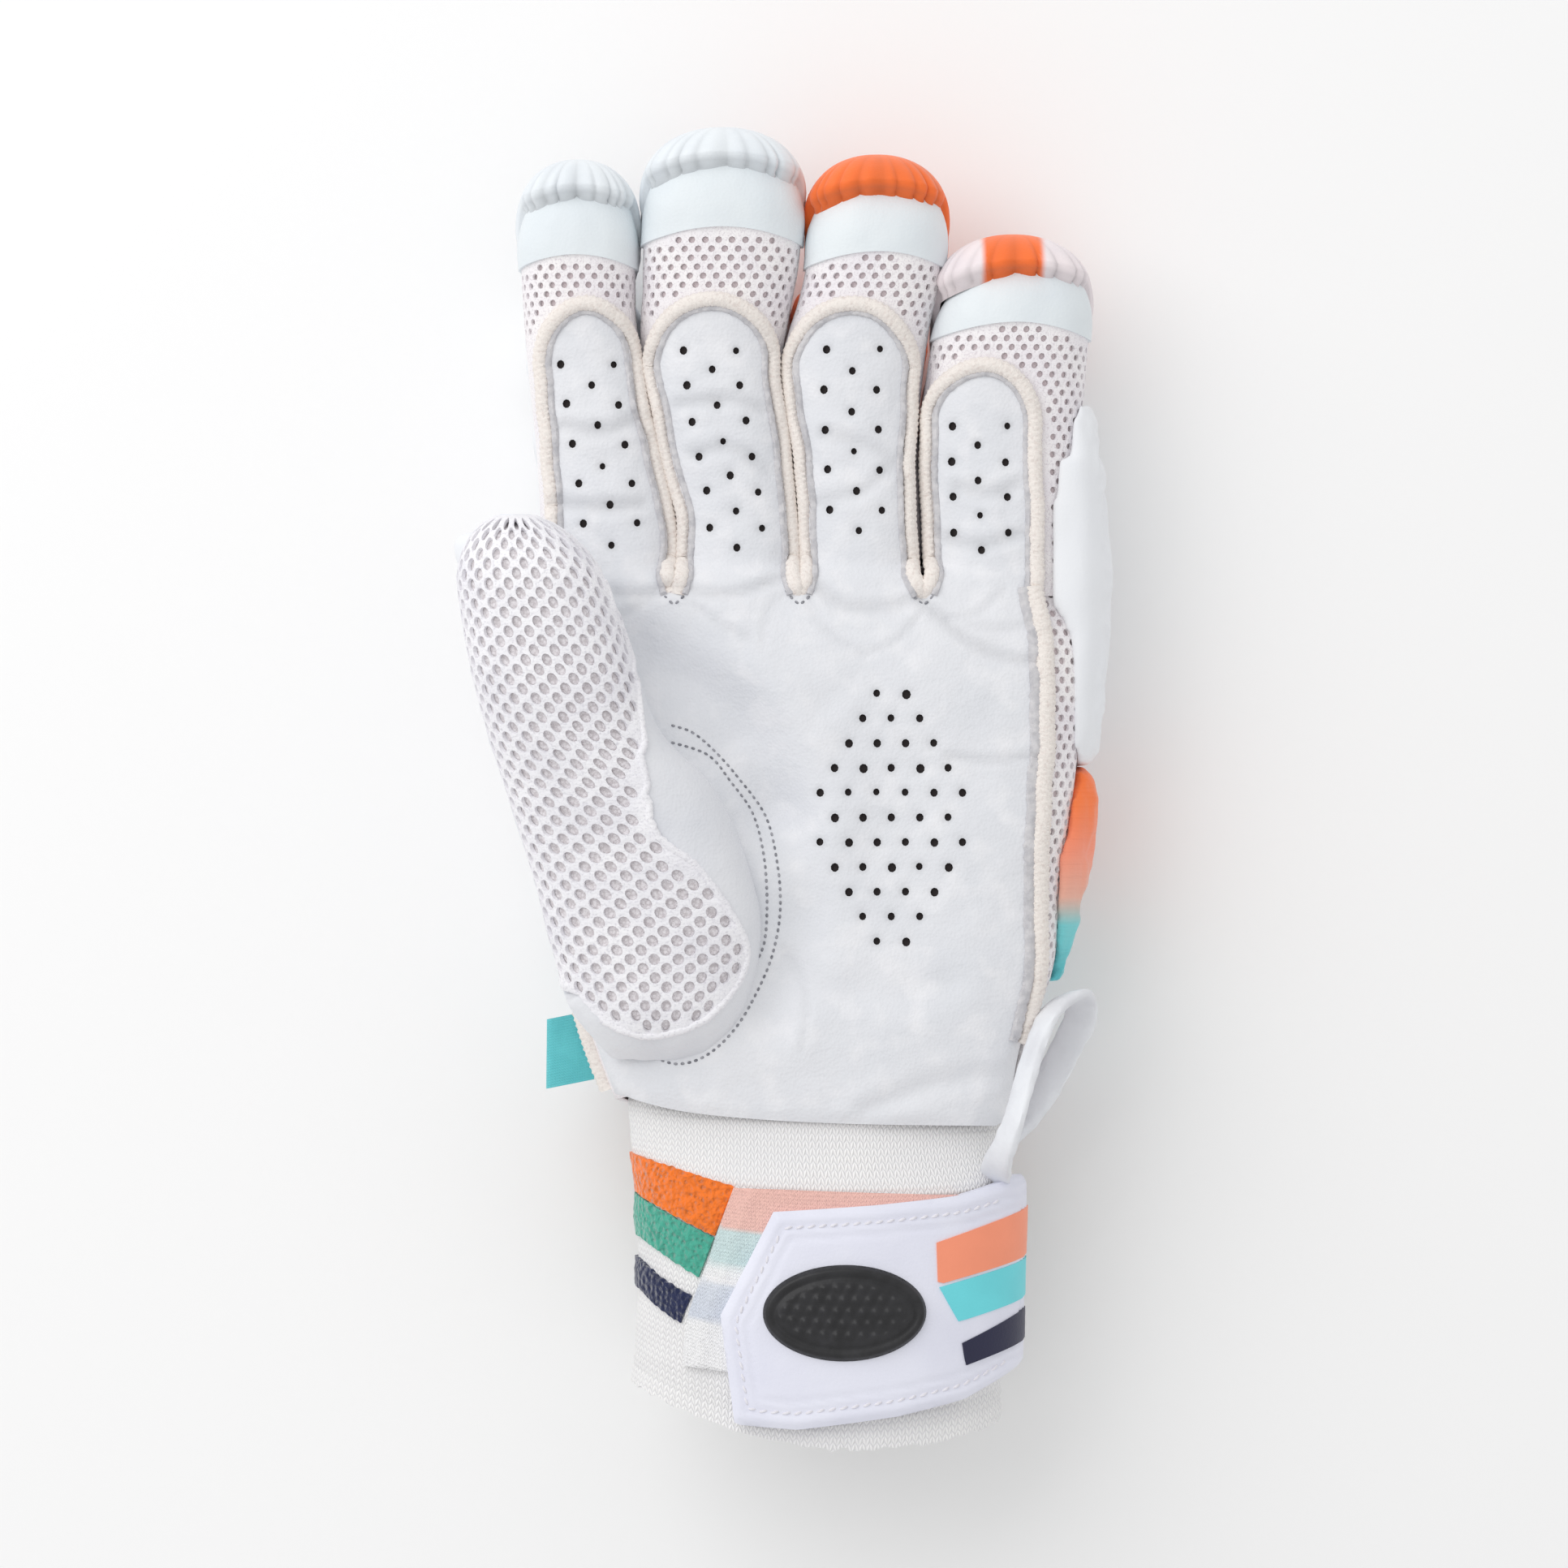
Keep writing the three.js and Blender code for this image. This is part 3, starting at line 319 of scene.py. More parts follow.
def make_piece(name, points, faces, finish, sharp=50, tint=None, flat_uv=None):
    # Millimetres from the middle become metres in the frame. A piece that has
    # the name of one of the frame's nodes takes that node's place.
    stands_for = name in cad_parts
    label = name + "_piece" if stands_for else name
    mesh = bpy.data.meshes.new(label)
    placed = (np.asarray(points, float) + np.array(CENTRE)) * MM
    mesh.from_pydata(placed.tolist(), [], faces)
    mesh.validate()
    mesh.polygons.foreach_set("use_smooth", [True] * len(mesh.polygons))
    mesh.set_sharp_from_angle(angle=math.radians(sharp))
    if tint is not None:
        colours = mesh.attributes.new("tint", "FLOAT_COLOR", "POINT")
        colours.data.foreach_set("color", np.column_stack([tint, np.ones(len(tint))]).ravel())
    if flat_uv is not None:
        layer = mesh.uv_layers.new(name="cloth")
        corner = np.zeros(len(mesh.loops), dtype=int)
        mesh.loops.foreach_get("vertex_index", corner)
        layer.data.foreach_set("uv", (np.asarray(flat_uv) * MM)[corner].ravel())
    mesh.materials.append(finish.material)
    made = bpy.data.objects.new(label, mesh)
    bpy.context.scene.collection.objects.link(made)
    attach(made, "root")
    if stands_for:
        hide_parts(name)
    return made


def srgb(red, green, blue):
    parts = [c / 255 for c in (red, green, blue)]
    return tuple(c / 12.92 if c <= 0.04045 else ((c + 0.055) / 1.055) ** 2.4 for c in parts)


class Finish:
    # A finish built up step by step: base colour, variation, relief and sheen
    def __init__(self, name, colour, roughness, sheen=0.0, specular=0.4):
        self.material = bpy.data.materials.new(name)
        self.material.use_nodes = True
        self.tree = self.material.node_tree
        self.shader = self.tree.nodes["Principled BSDF"]
        self.shader.inputs["Base Color"].default_value = (*colour, 1)
        self.shader.inputs["Roughness"].default_value = roughness
        self.shader.inputs["Specular IOR Level"].default_value = specular
        if sheen:
            self.shader.inputs["Sheen Weight"].default_value = sheen
            self.shader.inputs["Sheen Roughness"].default_value = 0.5
        self.colour = colour
        self.relief = None
        self.place = self.node("ShaderNodeTexCoord").outputs["Object"]

    def node(self, kind, **settings):
        made = self.tree.nodes.new(kind)
        for key, value in settings.items():
            setattr(made, key, value)
        return made

    def link(self, source, target):
        self.tree.links.new(source, target)

    def maths(self, operation, first, second=None):
        made = self.node("ShaderNodeMath", operation=operation)
        for at, value in enumerate((first, second)):
            if value is None:
                continue
            if hasattr(value, "is_output"):
                self.link(value, made.inputs[at])
            else:
                made.inputs[at].default_value = value
        return made.outputs[0]

    def noise(self, scale, detail=3.0, stretch=(1, 1, 1)):
        mapping = self.node("ShaderNodeMapping")
        mapping.inputs["Scale"].default_value = stretch
        self.link(self.place, mapping.inputs["Vector"])
        made = self.node("ShaderNodeTexNoise")
        made.inputs["Scale"].default_value = scale
        made.inputs["Detail"].default_value = detail
        self.link(mapping.outputs[0], made.inputs["Vector"])
        return made.outputs["Fac"]

    def cells(self, scale, feature="F1"):
        made = self.node("ShaderNodeTexVoronoi", feature=feature)
        made.inputs["Scale"].default_value = scale
        self.link(self.place, made.inputs["Vector"])
        return made.outputs["Distance"]

    def blend_in(self, mode, factor, source):
        # Blends a colour over what the base colour shows so far
        mix = self.node("ShaderNodeMix", data_type="RGBA", blend_type=mode)
        if factor is None:
            mix.inputs[0].default_value = 1.0
        else:
            self.link(factor, mix.inputs[0])
        links = self.shader.inputs["Base Color"].links
        if links:
            self.link(links[0].from_socket, mix.inputs[6])
        else:
            mix.inputs[6].default_value = (*self.colour, 1)
        if hasattr(source, "is_output"):
            self.link(source, mix.inputs[7])
        else:
            mix.inputs[7].default_value = (*source, 1)
        self.link(mix.outputs[2], self.shader.inputs["Base Color"])
        return self

    def vary(self, factor, other, low=0.35, high=0.65):
        # Blends the colour so far towards another where the factor is high
        ramp = self.node("ShaderNodeMapRange", clamp=True)
        ramp.inputs["From Min"].default_value = low
        ramp.inputs["From Max"].default_value = high
        self.link(factor, ramp.inputs["Value"])
        return self.blend_in("MIX", ramp.outputs[0], other)

    def mottle(self, scale, other, low=0.35, high=0.65, detail=3.0):
        return self.vary(self.noise(scale, detail), other, low, high)

    def shaded(self):
        # Multiplies the colour so far by the shade or colour laid on the piece
        tint = self.node("ShaderNodeAttribute", attribute_name="tint")
        return self.blend_in("MULTIPLY", None, tint.outputs["Color"])

    def bump(self, height, depth_mm, strength=1.0):
        made = self.node("ShaderNodeBump")
        made.inputs["Distance"].default_value = depth_mm * MM
        made.inputs["Strength"].default_value = strength
        self.link(height, made.inputs["Height"])
        if self.relief is not None:
            self.link(self.relief, made.inputs["Normal"])
        self.relief = made.outputs["Normal"]
        self.link(self.relief, self.shader.inputs["Normal"])
        return self

    def grain(self, scale, depth_mm, strength=1.0, detail=3.0, stretch=(1, 1, 1)):
        return self.bump(self.noise(scale, detail, stretch), depth_mm, strength)

    def pebble(self, scale, depth_mm, strength=1.0, feature="F1"):
        return self.bump(self.cells(scale, feature), depth_mm, strength)

    def knit(self, wale_mm, course_mm, depth_mm, other=None):
        # Rows of V-shaped stitches that follow the cloth's own flat pattern
        uv = self.node("ShaderNodeUVMap", uv_map="cloth")
        split = self.node("ShaderNodeSeparateXYZ")
        self.link(uv.outputs[0], split.inputs[0])
        u = self.maths("MULTIPLY", split.outputs[0], 1 / (wale_mm * MM))
        v = self.maths("MULTIPLY", split.outputs[1], 1 / (course_mm * MM))
        lean = self.maths("ABSOLUTE", self.maths("SUBTRACT", self.maths("FRACT", u), 0.5))
        row = self.maths("FRACT", self.maths("ADD", v, self.maths("MULTIPLY", lean, 1.2)))
        stitch = self.maths("SINE", self.maths("MULTIPLY", row, math.pi))
        valley = self.maths("SINE", self.maths("MULTIPLY", lean, 2 * math.pi))
        crest = self.maths("ADD", self.maths("MULTIPLY", valley, 0.8), 0.2)
        height = self.maths("MULTIPLY", stitch, crest)
        # Where another colour is given, the valleys between the stitches are painted towards it: painted
        # shade
        if other is not None:
            self.vary(self.maths("SUBTRACT", 1.0, height), other, 0.55, 1.0)
        return self.bump(height, depth_mm)


def noise_on(points, scale, seed):
    # Smooth random heights from -1 to 1 at each place
    spots = np.asarray(points, float) * scale + np.array([seed, seed * 0.37, 0])
    return np.array([noise.noise(Vector(p)) for p in spots])


def dents_on(flat, layers, level=0.0):
    # Smooth dents over a flat pattern, each layer with its height, size and seed
    spots = np.column_stack([flat, np.full(len(flat), level)])
    return sum(height * noise_on(spots, 1 / size, seed) for height, size, seed in layers)


def round_hole(x, y, radius, sides=8, tall=1.0, turn=0.0):
    angles = [2 * math.pi * step / sides + turn for step in range(sides)]
    return [(x + radius * math.cos(a), y + radius * tall * math.sin(a)) for a in angles]


def lay_sheet(
    name, skin, outline, finish, slot, outer=WALL, inner=0.7, spacing=2.2,
    holes=(), waves=None, shade=None, held=None, rests_on=(), sharp=50,
):
    # Cloth cut flat as (share round, line) and laid over a skin
    girth = skin["girth"]
    pattern = np.asarray(outline, float) * [girth, 1]
    flat, faces = cut_sheet(pattern, holes, spacing)
    share = flat[:, 0] / girth
    swell = waves(share, flat[:, 1], flat) if waves else 0.0
    upper = on_skin(skin, share, flat[:, 1], outer + swell)
    lower = on_skin(skin, share, flat[:, 1], inner + swell)
    # With a shade given, the flesh side takes the same colours at 0.7, so the cut edges shade off darker:
    # painted shade
    tint = np.concatenate([shade(flat, upper), shade(flat, upper) * 0.7]) if shade else None
    points, every = thicken(upper, lower, faces)
    made = make_piece(name, points, every, finish, sharp, tint, np.tile(flat, (2, 1)))


def net_holes(skin, outline, pitch, radius, wanted, tall=1.15, rows=0.8, sides=8):
    # Staggered holes wherever the net is open, clear of the piece's edges
    girth = skin["girth"]
    pattern = np.asarray(outline, float) * [girth, 1]
    spots = staggered(pattern, pitch, rows, 0.5)
    spots = spots[near_path(spots, pattern, True) > radius * 1.45]
    places = on_skin(skin, spots[:, 0] / girth, spots[:, 1])
    spots = spots[wanted(places)]
    return [round_hole(x, y, radius, sides, tall) for x, y in spots]


net_cloth = Finish("net_cloth", srgb(243, 239, 243), 0.85, sheen=0.15)
net_cloth.mottle(90, srgb(250, 247, 247)).mottle(2600, srgb(220, 212, 218), 0.5, 0.8, 1)
net_cloth.grain(1500, 0.35, 0.9, 2, (1, 0.45, 1))
net_backing = Finish("net_backing", srgb(224, 212, 214), 0.95)
net_backing.grain(1800, 0.2, detail=1)
palm_skin = skin_over(palm_section, np.linspace(HEM_Y, PALM_END, 60), PALM_POWER)
body_lines = np.linspace(HEM_Y, PALM_END, 40)
seam_shares = share_over(palm_skin, outer_seam(body_lines), body_lines)
THUMB_EDGE_SHARE = -0.315
body_outline = [(THUMB_EDGE_SHARE, y) for y in np.linspace(PALM_END, HEM_Y + 5, 38)]
body_outline += [(-0.27, HEM_Y + 3.5), (-0.2, HEM_Y + 0.8)]
body_outline += list(zip(seam_shares, body_lines))
LINING = {"outer": 0.25, "inner": 0.0, "spacing": 2.8, "held": "stretched"}
NET = {"outer": 1.1, "held": "stretched"}


def outer_side(places):
    # The net is open only round the little-finger side, above the back pads
    return (places[:, 0] > 40) & (places[:, 2] > HAND_BASE + 7)


holes = net_holes(palm_skin, body_outline, 2.5, 0.7, outer_side)
lay_sheet("hand_lining", palm_skin, body_outline, net_backing, "mesh", **LINING)
how = {"inner": 0.3, "holes": holes, "rests_on": ["hand_lining"], **NET}
lay_sheet("hand_body", palm_skin, body_outline, net_cloth, "mesh", **how)

# Finger gussets: the same fine mesh as a sleeve round each finger, open holes
# where it stretches over the sides and below the tip, with a lining inside
# and a small web of cloth between neighbouring fingers.
KNUCKLE_Y = 40.0
ROOT_Y = KNUCKLE_Y + 4
SLEEVE_START = ROOT_Y - 4
FINGER_LENGTH = 95.0
FINGER_DEPTH = 20.0
FINGER_POWER = 2.5
TIP_ROUND = 15.0
LANES = {
    "along": [-0.2, 0.0, 0.16, 0.32, 0.54, 0.73, 1.1],
    "edge0": [-0.468, -0.468, -0.47, -0.477, -0.495, -0.505, -0.503],
    "edge1": [-0.211, -0.211, -0.207, -0.237, -0.272, -0.277, -0.257],
    "edge2": [0.024, 0.024, 0.021, 0.009, -0.009, 0.027, 0.033],
    "edge3": [0.254, 0.254, 0.251, 0.246, 0.26, 0.298, 0.308],
    "edge4": [0.562, 0.562, 0.56, 0.557, 0.57, 0.578, 0.576],
}
FINGER_COLUMNS = ("name", "lane", "length", "tongue", "left", "right", "wrap", "lift")
FINGER_ROWS = (
    ("index", 0, 0.93, 0.65, 2.2, 0.9, 0.95, 0.05),
    ("middle", 1, 1.0, 0.655, 1.0, 1.0, 1.0, 0.07),
    ("ring", 2, 0.94, 0.648, 1.0, 1.4, 0.97, 0.06),
    ("little", 3, 0.762, 0.513, 1.0, 6.4, 0.85, 0.05),
)
FINGERS = [dict(zip(FINGER_COLUMNS, row)) for row in FINGER_ROWS]
WRAP_LENGTH = 17.0
WRAP_BOW = 7.5
ROLL_LENGTH = 3.8
TONGUE_INSET = 1.7
TONGUE_ARCH = 13.0


def lane(finger, y):
    along = (np.asarray(y, float) - KNUCKLE_Y) / FINGER_LENGTH
    left = between(LANES, along, "edge%d" % finger["lane"]) * PALM_WIDTH
    right = between(LANES, along, "edge%d" % (finger["lane"] + 1)) * PALM_WIDTH
    return left, right


def finger_tip(finger):
    return KNUCKLE_Y + finger["length"] * FINGER_LENGTH


def finger_section(finger, y):
    left, right = lane(finger, y)
    along = np.maximum(0, (np.asarray(y, float) - KNUCKLE_Y) / (finger["length"] * FINGER_LENGTH))
    share = np.clip((y - finger_tip(finger) + TIP_ROUND) / TIP_ROUND, 0, 0.9999)
    size = np.sqrt(1 - share**2)
    return {
        "x": (left + right) / 2,
        "z": HAND_BASE + FINGER_DEPTH / 2 + finger["lift"] * FINGER_LENGTH * along**2,
        "half_width": ((right - left) / 2 - WALL - GAP) * size,
        "half_depth": FINGER_DEPTH / 2 * size,
    }


def arch_over(finger, x, crown, bow):
    # Height along the finger of a band that bows towards the tip
    left, right = lane(finger, crown)
    half = (right - left) / 2 + 6
    return crown - bow * ((x - (left + right) / 2) / half) ** 2


def tongue_side(finger, y, right):
    # The left or right edge of the leather tongue on a finger
    edges = lane(finger, y)
    inset = (finger["right"] if right else finger["left"]) * TONGUE_INSET
    return edges[1] - inset if right else edges[0] + inset


def tongue_outline(finger, start_y, steps=14, arch_steps=18):
    # Up one side of the tongue, round its arched end and down the other side
    top = KNUCKLE_Y + finger["tongue"] * FINGER_LENGTH
    spring = top - TONGUE_ARCH
    ys = np.linspace(start_y, spring, steps + 1)
    points = [(tongue_side(finger, y, False), y) for y in ys]
    left, right = tongue_side(finger, spring, False), tongue_side(finger, spring, True)
    for step in range(1, arch_steps):
        angle = math.pi * (1 - step / arch_steps)
        x = (left + right) / 2 + math.cos(angle) * (right - left) / 2
        points.append((x, spring + math.sin(angle) * TONGUE_ARCH))
    points.extend((tongue_side(finger, y, True), y) for y in ys[::-1])
    return points


finger_skins = {}
for finger in FINGERS:
    tip = finger_tip(finger)
    sides = np.linspace(SLEEVE_START, tip - TIP_ROUND, 50)
    lines = np.concatenate([sides, np.linspace(tip - 14.5, tip - 0.05, 24)])
    skin = skin_over(lambda y: finger_section(finger, y), lines, FINGER_POWER)
    finger_skins[finger["name"]] = skin
    crown = tip - WRAP_LENGTH * finger["wrap"]
    shares = np.linspace(0, 1, 100)
    x = on_skin(skin, shares, np.full(100, crown - 4))[:, 0]
    upper_edge = arch_over(finger, x, crown, WRAP_BOW) + 1.5
    outline = [(s, SLEEVE_START) for s in shares] + list(zip(shares[::-1], upper_edge[::-1]))
    tongue = tongue_outline(finger, ROOT_Y - 3)

    def open_here(places):
        clear = ~within(places[:, :2], tongue) & (near_path(places[:, :2], tongue) > 2.6)
        below = places[:, 1] < arch_over(finger, places[:, 0], crown, WRAP_BOW) - 1.2
        return clear & below & (places[:, 2] > HAND_BASE + 6)

    def side_puff(share, line):
        # The mesh swells a little where two fingers lie side by side
        right = np.exp(-(((share - 0.25) / 0.06) ** 2)) * (finger["lane"] < 3)
        left = np.exp(-(((share - 0.75) / 0.06) ** 2)) * (finger["lane"] > 0)
        fade = np.clip((line - ROOT_Y) / 5, 0, 1) * np.clip((crown - 12 - line) / 10, 0, 1)
        return 0.85 * (right + left) * fade

    def sunk(share, line, flat):
        # Under the tongue the mesh lies lower, so that the leather covers it
        places = on_skin(skin, share, line)
        under = within(places[:, :2], tongue) & (places[:, 2] > HAND_BASE + 8)
        depth = np.clip(near_path(places[:, :2], tongue) / 2.5, 0, 1)
        return np.where(under, -1.4 * depth, 0) + side_puff(share, line)

    name = finger["name"]
    holes = net_holes(skin, outline, 2.35, 0.62, open_here)
    lay_sheet(name + "_lining", skin, outline, net_backing, "mesh", waves=sunk, **LINING)
    how = {"inner": 0.35, "holes": holes, "waves": sunk, "rests_on": [name + "_lining"], **NET}
    lay_sheet(name + "_gusset", skin, outline, net_cloth, "mesh", **how)


def grid_faces(rows, columns):
    # Two triangles for each square of a grid of points
    faces = []
    for at in range((rows - 1) * columns):
        if at % columns < columns - 1:
            faces.append((at, at + 1, at + 1 + columns))
            faces.append((at, at + 1 + columns, at + columns))
    return np.array(faces)


WEB_COLUMNS = 9
WEB_ROWS = 15
for finger in FINGERS[:3]:
    edge = lane(finger, ROOT_Y)[1]
    layers = []
    for lift in (0.0, -0.8):
        grid = []
        for v in np.linspace(0, 1, WEB_ROWS):
            for u in np.linspace(-1, 1, WEB_COLUMNS):
                y = ROOT_Y + 0.6 + lift - 2.2 * (1 - u**2) - 1.4 * math.cos(math.pi * v) ** 2
                grid.append((edge + u * 3.4, y, HAND_BASE - 0.4 + v * (FINGER_DEPTH - 2.2)))
        layers.append(np.array(grid))
    points, every = thicken(*layers, grid_faces(WEB_ROWS, WEB_COLUMNS))
    make_piece(finger["name"] + "_web", points, every, net_cloth)

# Palm leather: one soft grey-white sheepskin with a tongue up each finger,
# creased where the hand bends, pierced for air and turned in at the seams.
CREASES = (
    (1.2, 0.7, ((-38, 40.6), (-31, 40.2), (-25, 42))),
    (1.0, 0.5, ((-35, 35.6), (-30, 38.6), (-25, 42))),
    (1.2, 0.8, ((-24.3, 42), (-12.7, 40.3), (-4.4, 42.4), (3.1, 45))),
    (1.4, 0.8, ((3.1, 45), (12.2, 38), (22, 37.6), (28.8, 40))),
    (1.3, 0.8, ((28.8, 39), (37, 31.5), (43.7, 27.6), (52.5, 25.6))),
    (1.0, 0.35, ((29, 38), (37, 34), (46, 33), (52, 34))),
    (0.9, 0.55, ((33.8, 6), (43, 4.9), (53, 5.8))),
    (0.8, 0.4, ((-22, 40), (-14, 34), (-8, 31))),
    (0.8, 0.35, ((3, 43), (8, 33), (16, 28))),
    (0.8, 0.3, ((1, 43), (-4, 36), (-5, 29))),
    (0.8, 0.4, ((28.6, 37), (24, 31), (16, 27))),
    (0.8, 0.35, ((46, 41), (40, 36), (34, 35))),
    (0.8, 0.35, ((-1, -34), (4, -44), (3, -56))),
    (4.0, 0.7, ((-19.3, 34), (-3, 28.4), (7, 17.6))),
    (8.0, 4.6, ((-30, 26), (-19, 20), (-10, 10), (-4, -4))),
    (5.0, 1.4, ((-4, -4), (3, -18), (2, -34), (-4, -48))),
    (3.5, 0.5, ((-4, -38), (6, -43), (20, -44), (34, -42))),
    (2.2, 0.7, ((16.4, -69), (32, -63), (50, -61))),
    (1.5, 0.8, ((-47, 76), (-39, 74.6), (-32, 77.5))),
    (1.5, 0.8, ((-49, 59.5), (-38, 58.6), (-31, 59.4))),
    (1.4, 0.7, ((-23, 80.5), (-12, 81.4), (-5, 79.5))),
    (1.4, 0.6, ((-20, 70), (-11, 71), (-4, 66.5))),
    (1.5, 0.6, ((8, 74), (17, 72), (24, 68))),
    (1.3, 0.5, ((7, 60), (16, 62), (22, 67))),
    (1.4, 0.7, ((36, 63), (43, 61.5), (49, 63.5))),
    (1.4, 0.7, ((33, 52), (42, 50.6), (50, 53))),
)
HEM_LINE = ((44, -72.2), (33, -71.8), (12, -71.3), (-6, -70.4), (-21, -69.0), (-30, -67.2), (-33.4, -66.2))
HOLE_ROWS = (
    (0, 5, 89, 42, (-5.6, 0.2, 5.6)),
    (1, 6, 92, 45, (-5.8, 0, 5.4)),
    (2, 5, 92, 42, (-5.8, 0, 5.4)),
    (3, 4, 76, 30, (-6.2, -0.8, 5.4)),
)
HOLE_RADIUS = 0.78
VENT_CENTRE = (22, -7)
VENT_HALF = (16, 27)
VENT_PITCH = 6.0
LEATHER_THICK = 1.1
MELD = 1.6


def eased_path(path, steps=6):
    # A smooth curve through a few places
    path = [np.array(p, float) for p in path]
    fine = []
    for at in range(len(path) - 1):
        p0, p1 = path[max(at - 1, 0)], path[at]
        p2, p3 = path[at + 1], path[min(at + 2, len(path) - 1)]
        for step in range(steps):
            t = step / steps
            square = (2 * p0 - 5 * p1 + 4 * p2 - p3) * t**2
            fine.append(0.5 * (2 * p1 + (p2 - p0) * t + square + (3 * p1 - p0 - 3 * p2 + p3) * t**3))
    fine.append(path[-1])
    return np.array(fine)


def top_of(section, x, power, grow):
    # Height of one section's front at x, falling away steeply past its sides
    across = np.abs((x - section["x"]) / (section["half_width"] + grow))
    inside = np.clip(across, 0, 0.9999)
    up = (1 - inside**power) ** (1 / power)
    dent = section.get("hollow", 0) * up * (1 - inside**2)
    return section["z"] + (section["half_depth"] + grow) * up - dent - 60 * np.maximum(0, across - 1)


def front_height(x, y):
    # Height of the hand form's front, melded where the fingers leave the palm
    x = np.asarray(x, float)
    y = np.asarray(y, float)
    palm = top_of(palm_section(y), x, PALM_POWER, WALL) - 0.6 * np.maximum(0, y - PALM_END + 2) ** 2
    total = np.exp((palm - 40) / MELD)
    for finger in FINGERS:
        rise = top_of(finger_section(finger, y), x, FINGER_POWER, WALL)
        rise = rise - 0.6 * np.maximum(0, KNUCKLE_Y - 6 - y) ** 2
        total = total + np.exp((np.maximum(rise, -20) - 40) / MELD)
    return 40 + MELD * np.log(total)


def leather_folds(flat):
    # How far the leather rises or sinks at each place, and the painted shade in its fine creases
    drop = np.zeros(len(flat))
    shade = np.zeros(len(flat))
    for width, depth, path in CREASES:
        near = near_path(flat, eased_path(path, 5)) / width
        groove = np.exp(-(near**2))
        drop += depth * (groove - 0.35 * np.exp(-((near - 1.8) ** 2)))
        if width < 2:
            shade = np.maximum(shade, groove * min(1, depth))
    soft = dents_on(flat, ((0.5, 17, 3), (0.22, 6, 11), (0.07, 2.2, 5)))
    return soft - drop, shade


def tube_faces(rings, sides, start=0, inward=False):
    # The faces of a tube made of rings of points, with both ends closed
    every = []
    for low in range(start, start + (rings - 1) * sides, sides):
        for k in range(sides):
            after = (k + 1) % sides
            every.append((low + k, low + after, low + sides + after, low + sides + k))
    last = start + (rings - 1) * sides
    ends = [tuple(range(start + sides - 1, start - 1, -1)), tuple(range(last, last + sides))]
    if inward:
        return [face[:1] + face[:0:-1] for face in every] + [face[::-1] for face in ends]
    return every + ends


palm_outline = []
for y in np.linspace(HEM_Y + 4.3, ROOT_Y - 1, 30):
    section = palm_section(y)
    palm_outline.append((section["x"] - section["half_width"] - WALL + 1.2, y))
for finger in FINGERS:
    palm_outline.extend(tongue_outline(finger, ROOT_Y + 1))
    if finger["lane"] < 3:
        palm_outline.append((lane(finger, ROOT_Y)[1], ROOT_Y - 1.5))
palm_outline.extend((outer_seam(y), y) for y in np.linspace(ROOT_Y - 1, HEM_Y - 1, 30))
palm_outline.extend(eased_path(HEM_LINE, 5))
leather_holes = []
for lane_number, rows, high, reach, columns in HOLE_ROWS:
    finger = FINGERS[lane_number]
    for row in range(rows):
        for column, offset in enumerate(columns):
            wobble = 0.5 * noise.noise(Vector((row * 3.1, column * 5.3, lane_number * 7.7)))
            y = high - (row + (0.55 if column == 1 else 0)) * reach / rows + wobble
            middle = (tongue_side(finger, y, False) + tongue_side(finger, y, True)) / 2
            radius = HOLE_RADIUS * (1 + 0.25 * noise.noise(Vector((row * 1.7, column * 2.9, 4.4))))
            leather_holes.append(round_hole(float(middle + offset + wobble), y, radius, 9, 1.15, row))
for row in range(-5, 6):
    for column in range(-3, 4):
        x = (column + 0.5 * (row % 2)) * VENT_PITCH
        y = row * VENT_PITCH * 0.87
        if (x / VENT_HALF[0]) ** 2 + (y / VENT_HALF[1]) ** 2 < 1:
            wobble = 0.3 * noise.noise(Vector((row * 2.3, column * 4.1, 1.9)))
            place = (VENT_CENTRE[0] + x + wobble, VENT_CENTRE[1] + y - wobble)
            leather_holes.append(round_hole(*place, HOLE_RADIUS * (1.05 + wobble), 9, 1.1, column))
palm_leather = Finish("palm_leather", srgb(232, 233, 237), 0.62, sheen=0.08)
palm_leather.mottle(45, srgb(224, 226, 231), 0.3, 0.75).mottle(160, srgb(240, 240, 243), 0.5, 0.8, 4)
palm_leather.shaded().pebble(1500, 0.16, 0.5).grain(420, 0.3, 0.6, 5).grain(95, 0.8, 0.35, 6, (1, 2.2, 1))
flat, faces = cut_sheet(palm_outline, leather_holes, 1.25)
folds, shade = leather_folds(flat)
hole_centres = np.array([np.mean(hole, axis=0) for hole in leather_holes])
rim = np.min(np.linalg.norm(flat[:, None, :] - hole_centres[None, :, :], axis=2), axis=1)
edge = near_path(flat, palm_outline, True)
height = front_height(flat[:, 0], flat[:, 1]) + folds * np.clip(edge / 3, 0.15, 1)
height -= 0.35 * np.exp(-((rim / 1.5) ** 2)) + 0.8 * np.exp(-((edge / 1.2) ** 2)) * (flat[:, 1] < ROOT_Y)
top = np.column_stack([flat, height])
# Painted shade: the leather's colour is darkened in its fine creases and round the edge of each hole
painted_shade = 1 - 0.15 * shade - 0.28 * np.exp(-((rim / 1.0) ** 2))
# Painted shade: the flesh side takes 0.55 of the face's colour, so cut edges and hole walls shade off
# darker
tint = np.repeat(np.concatenate([painted_shade, painted_shade * 0.55])[:, None], 3, axis=1)
points, every = thicken(top, top - np.array([0, 0, LEATHER_THICK]), faces)
make_piece("palm_leather", points, every, palm_leather, tint=tint)
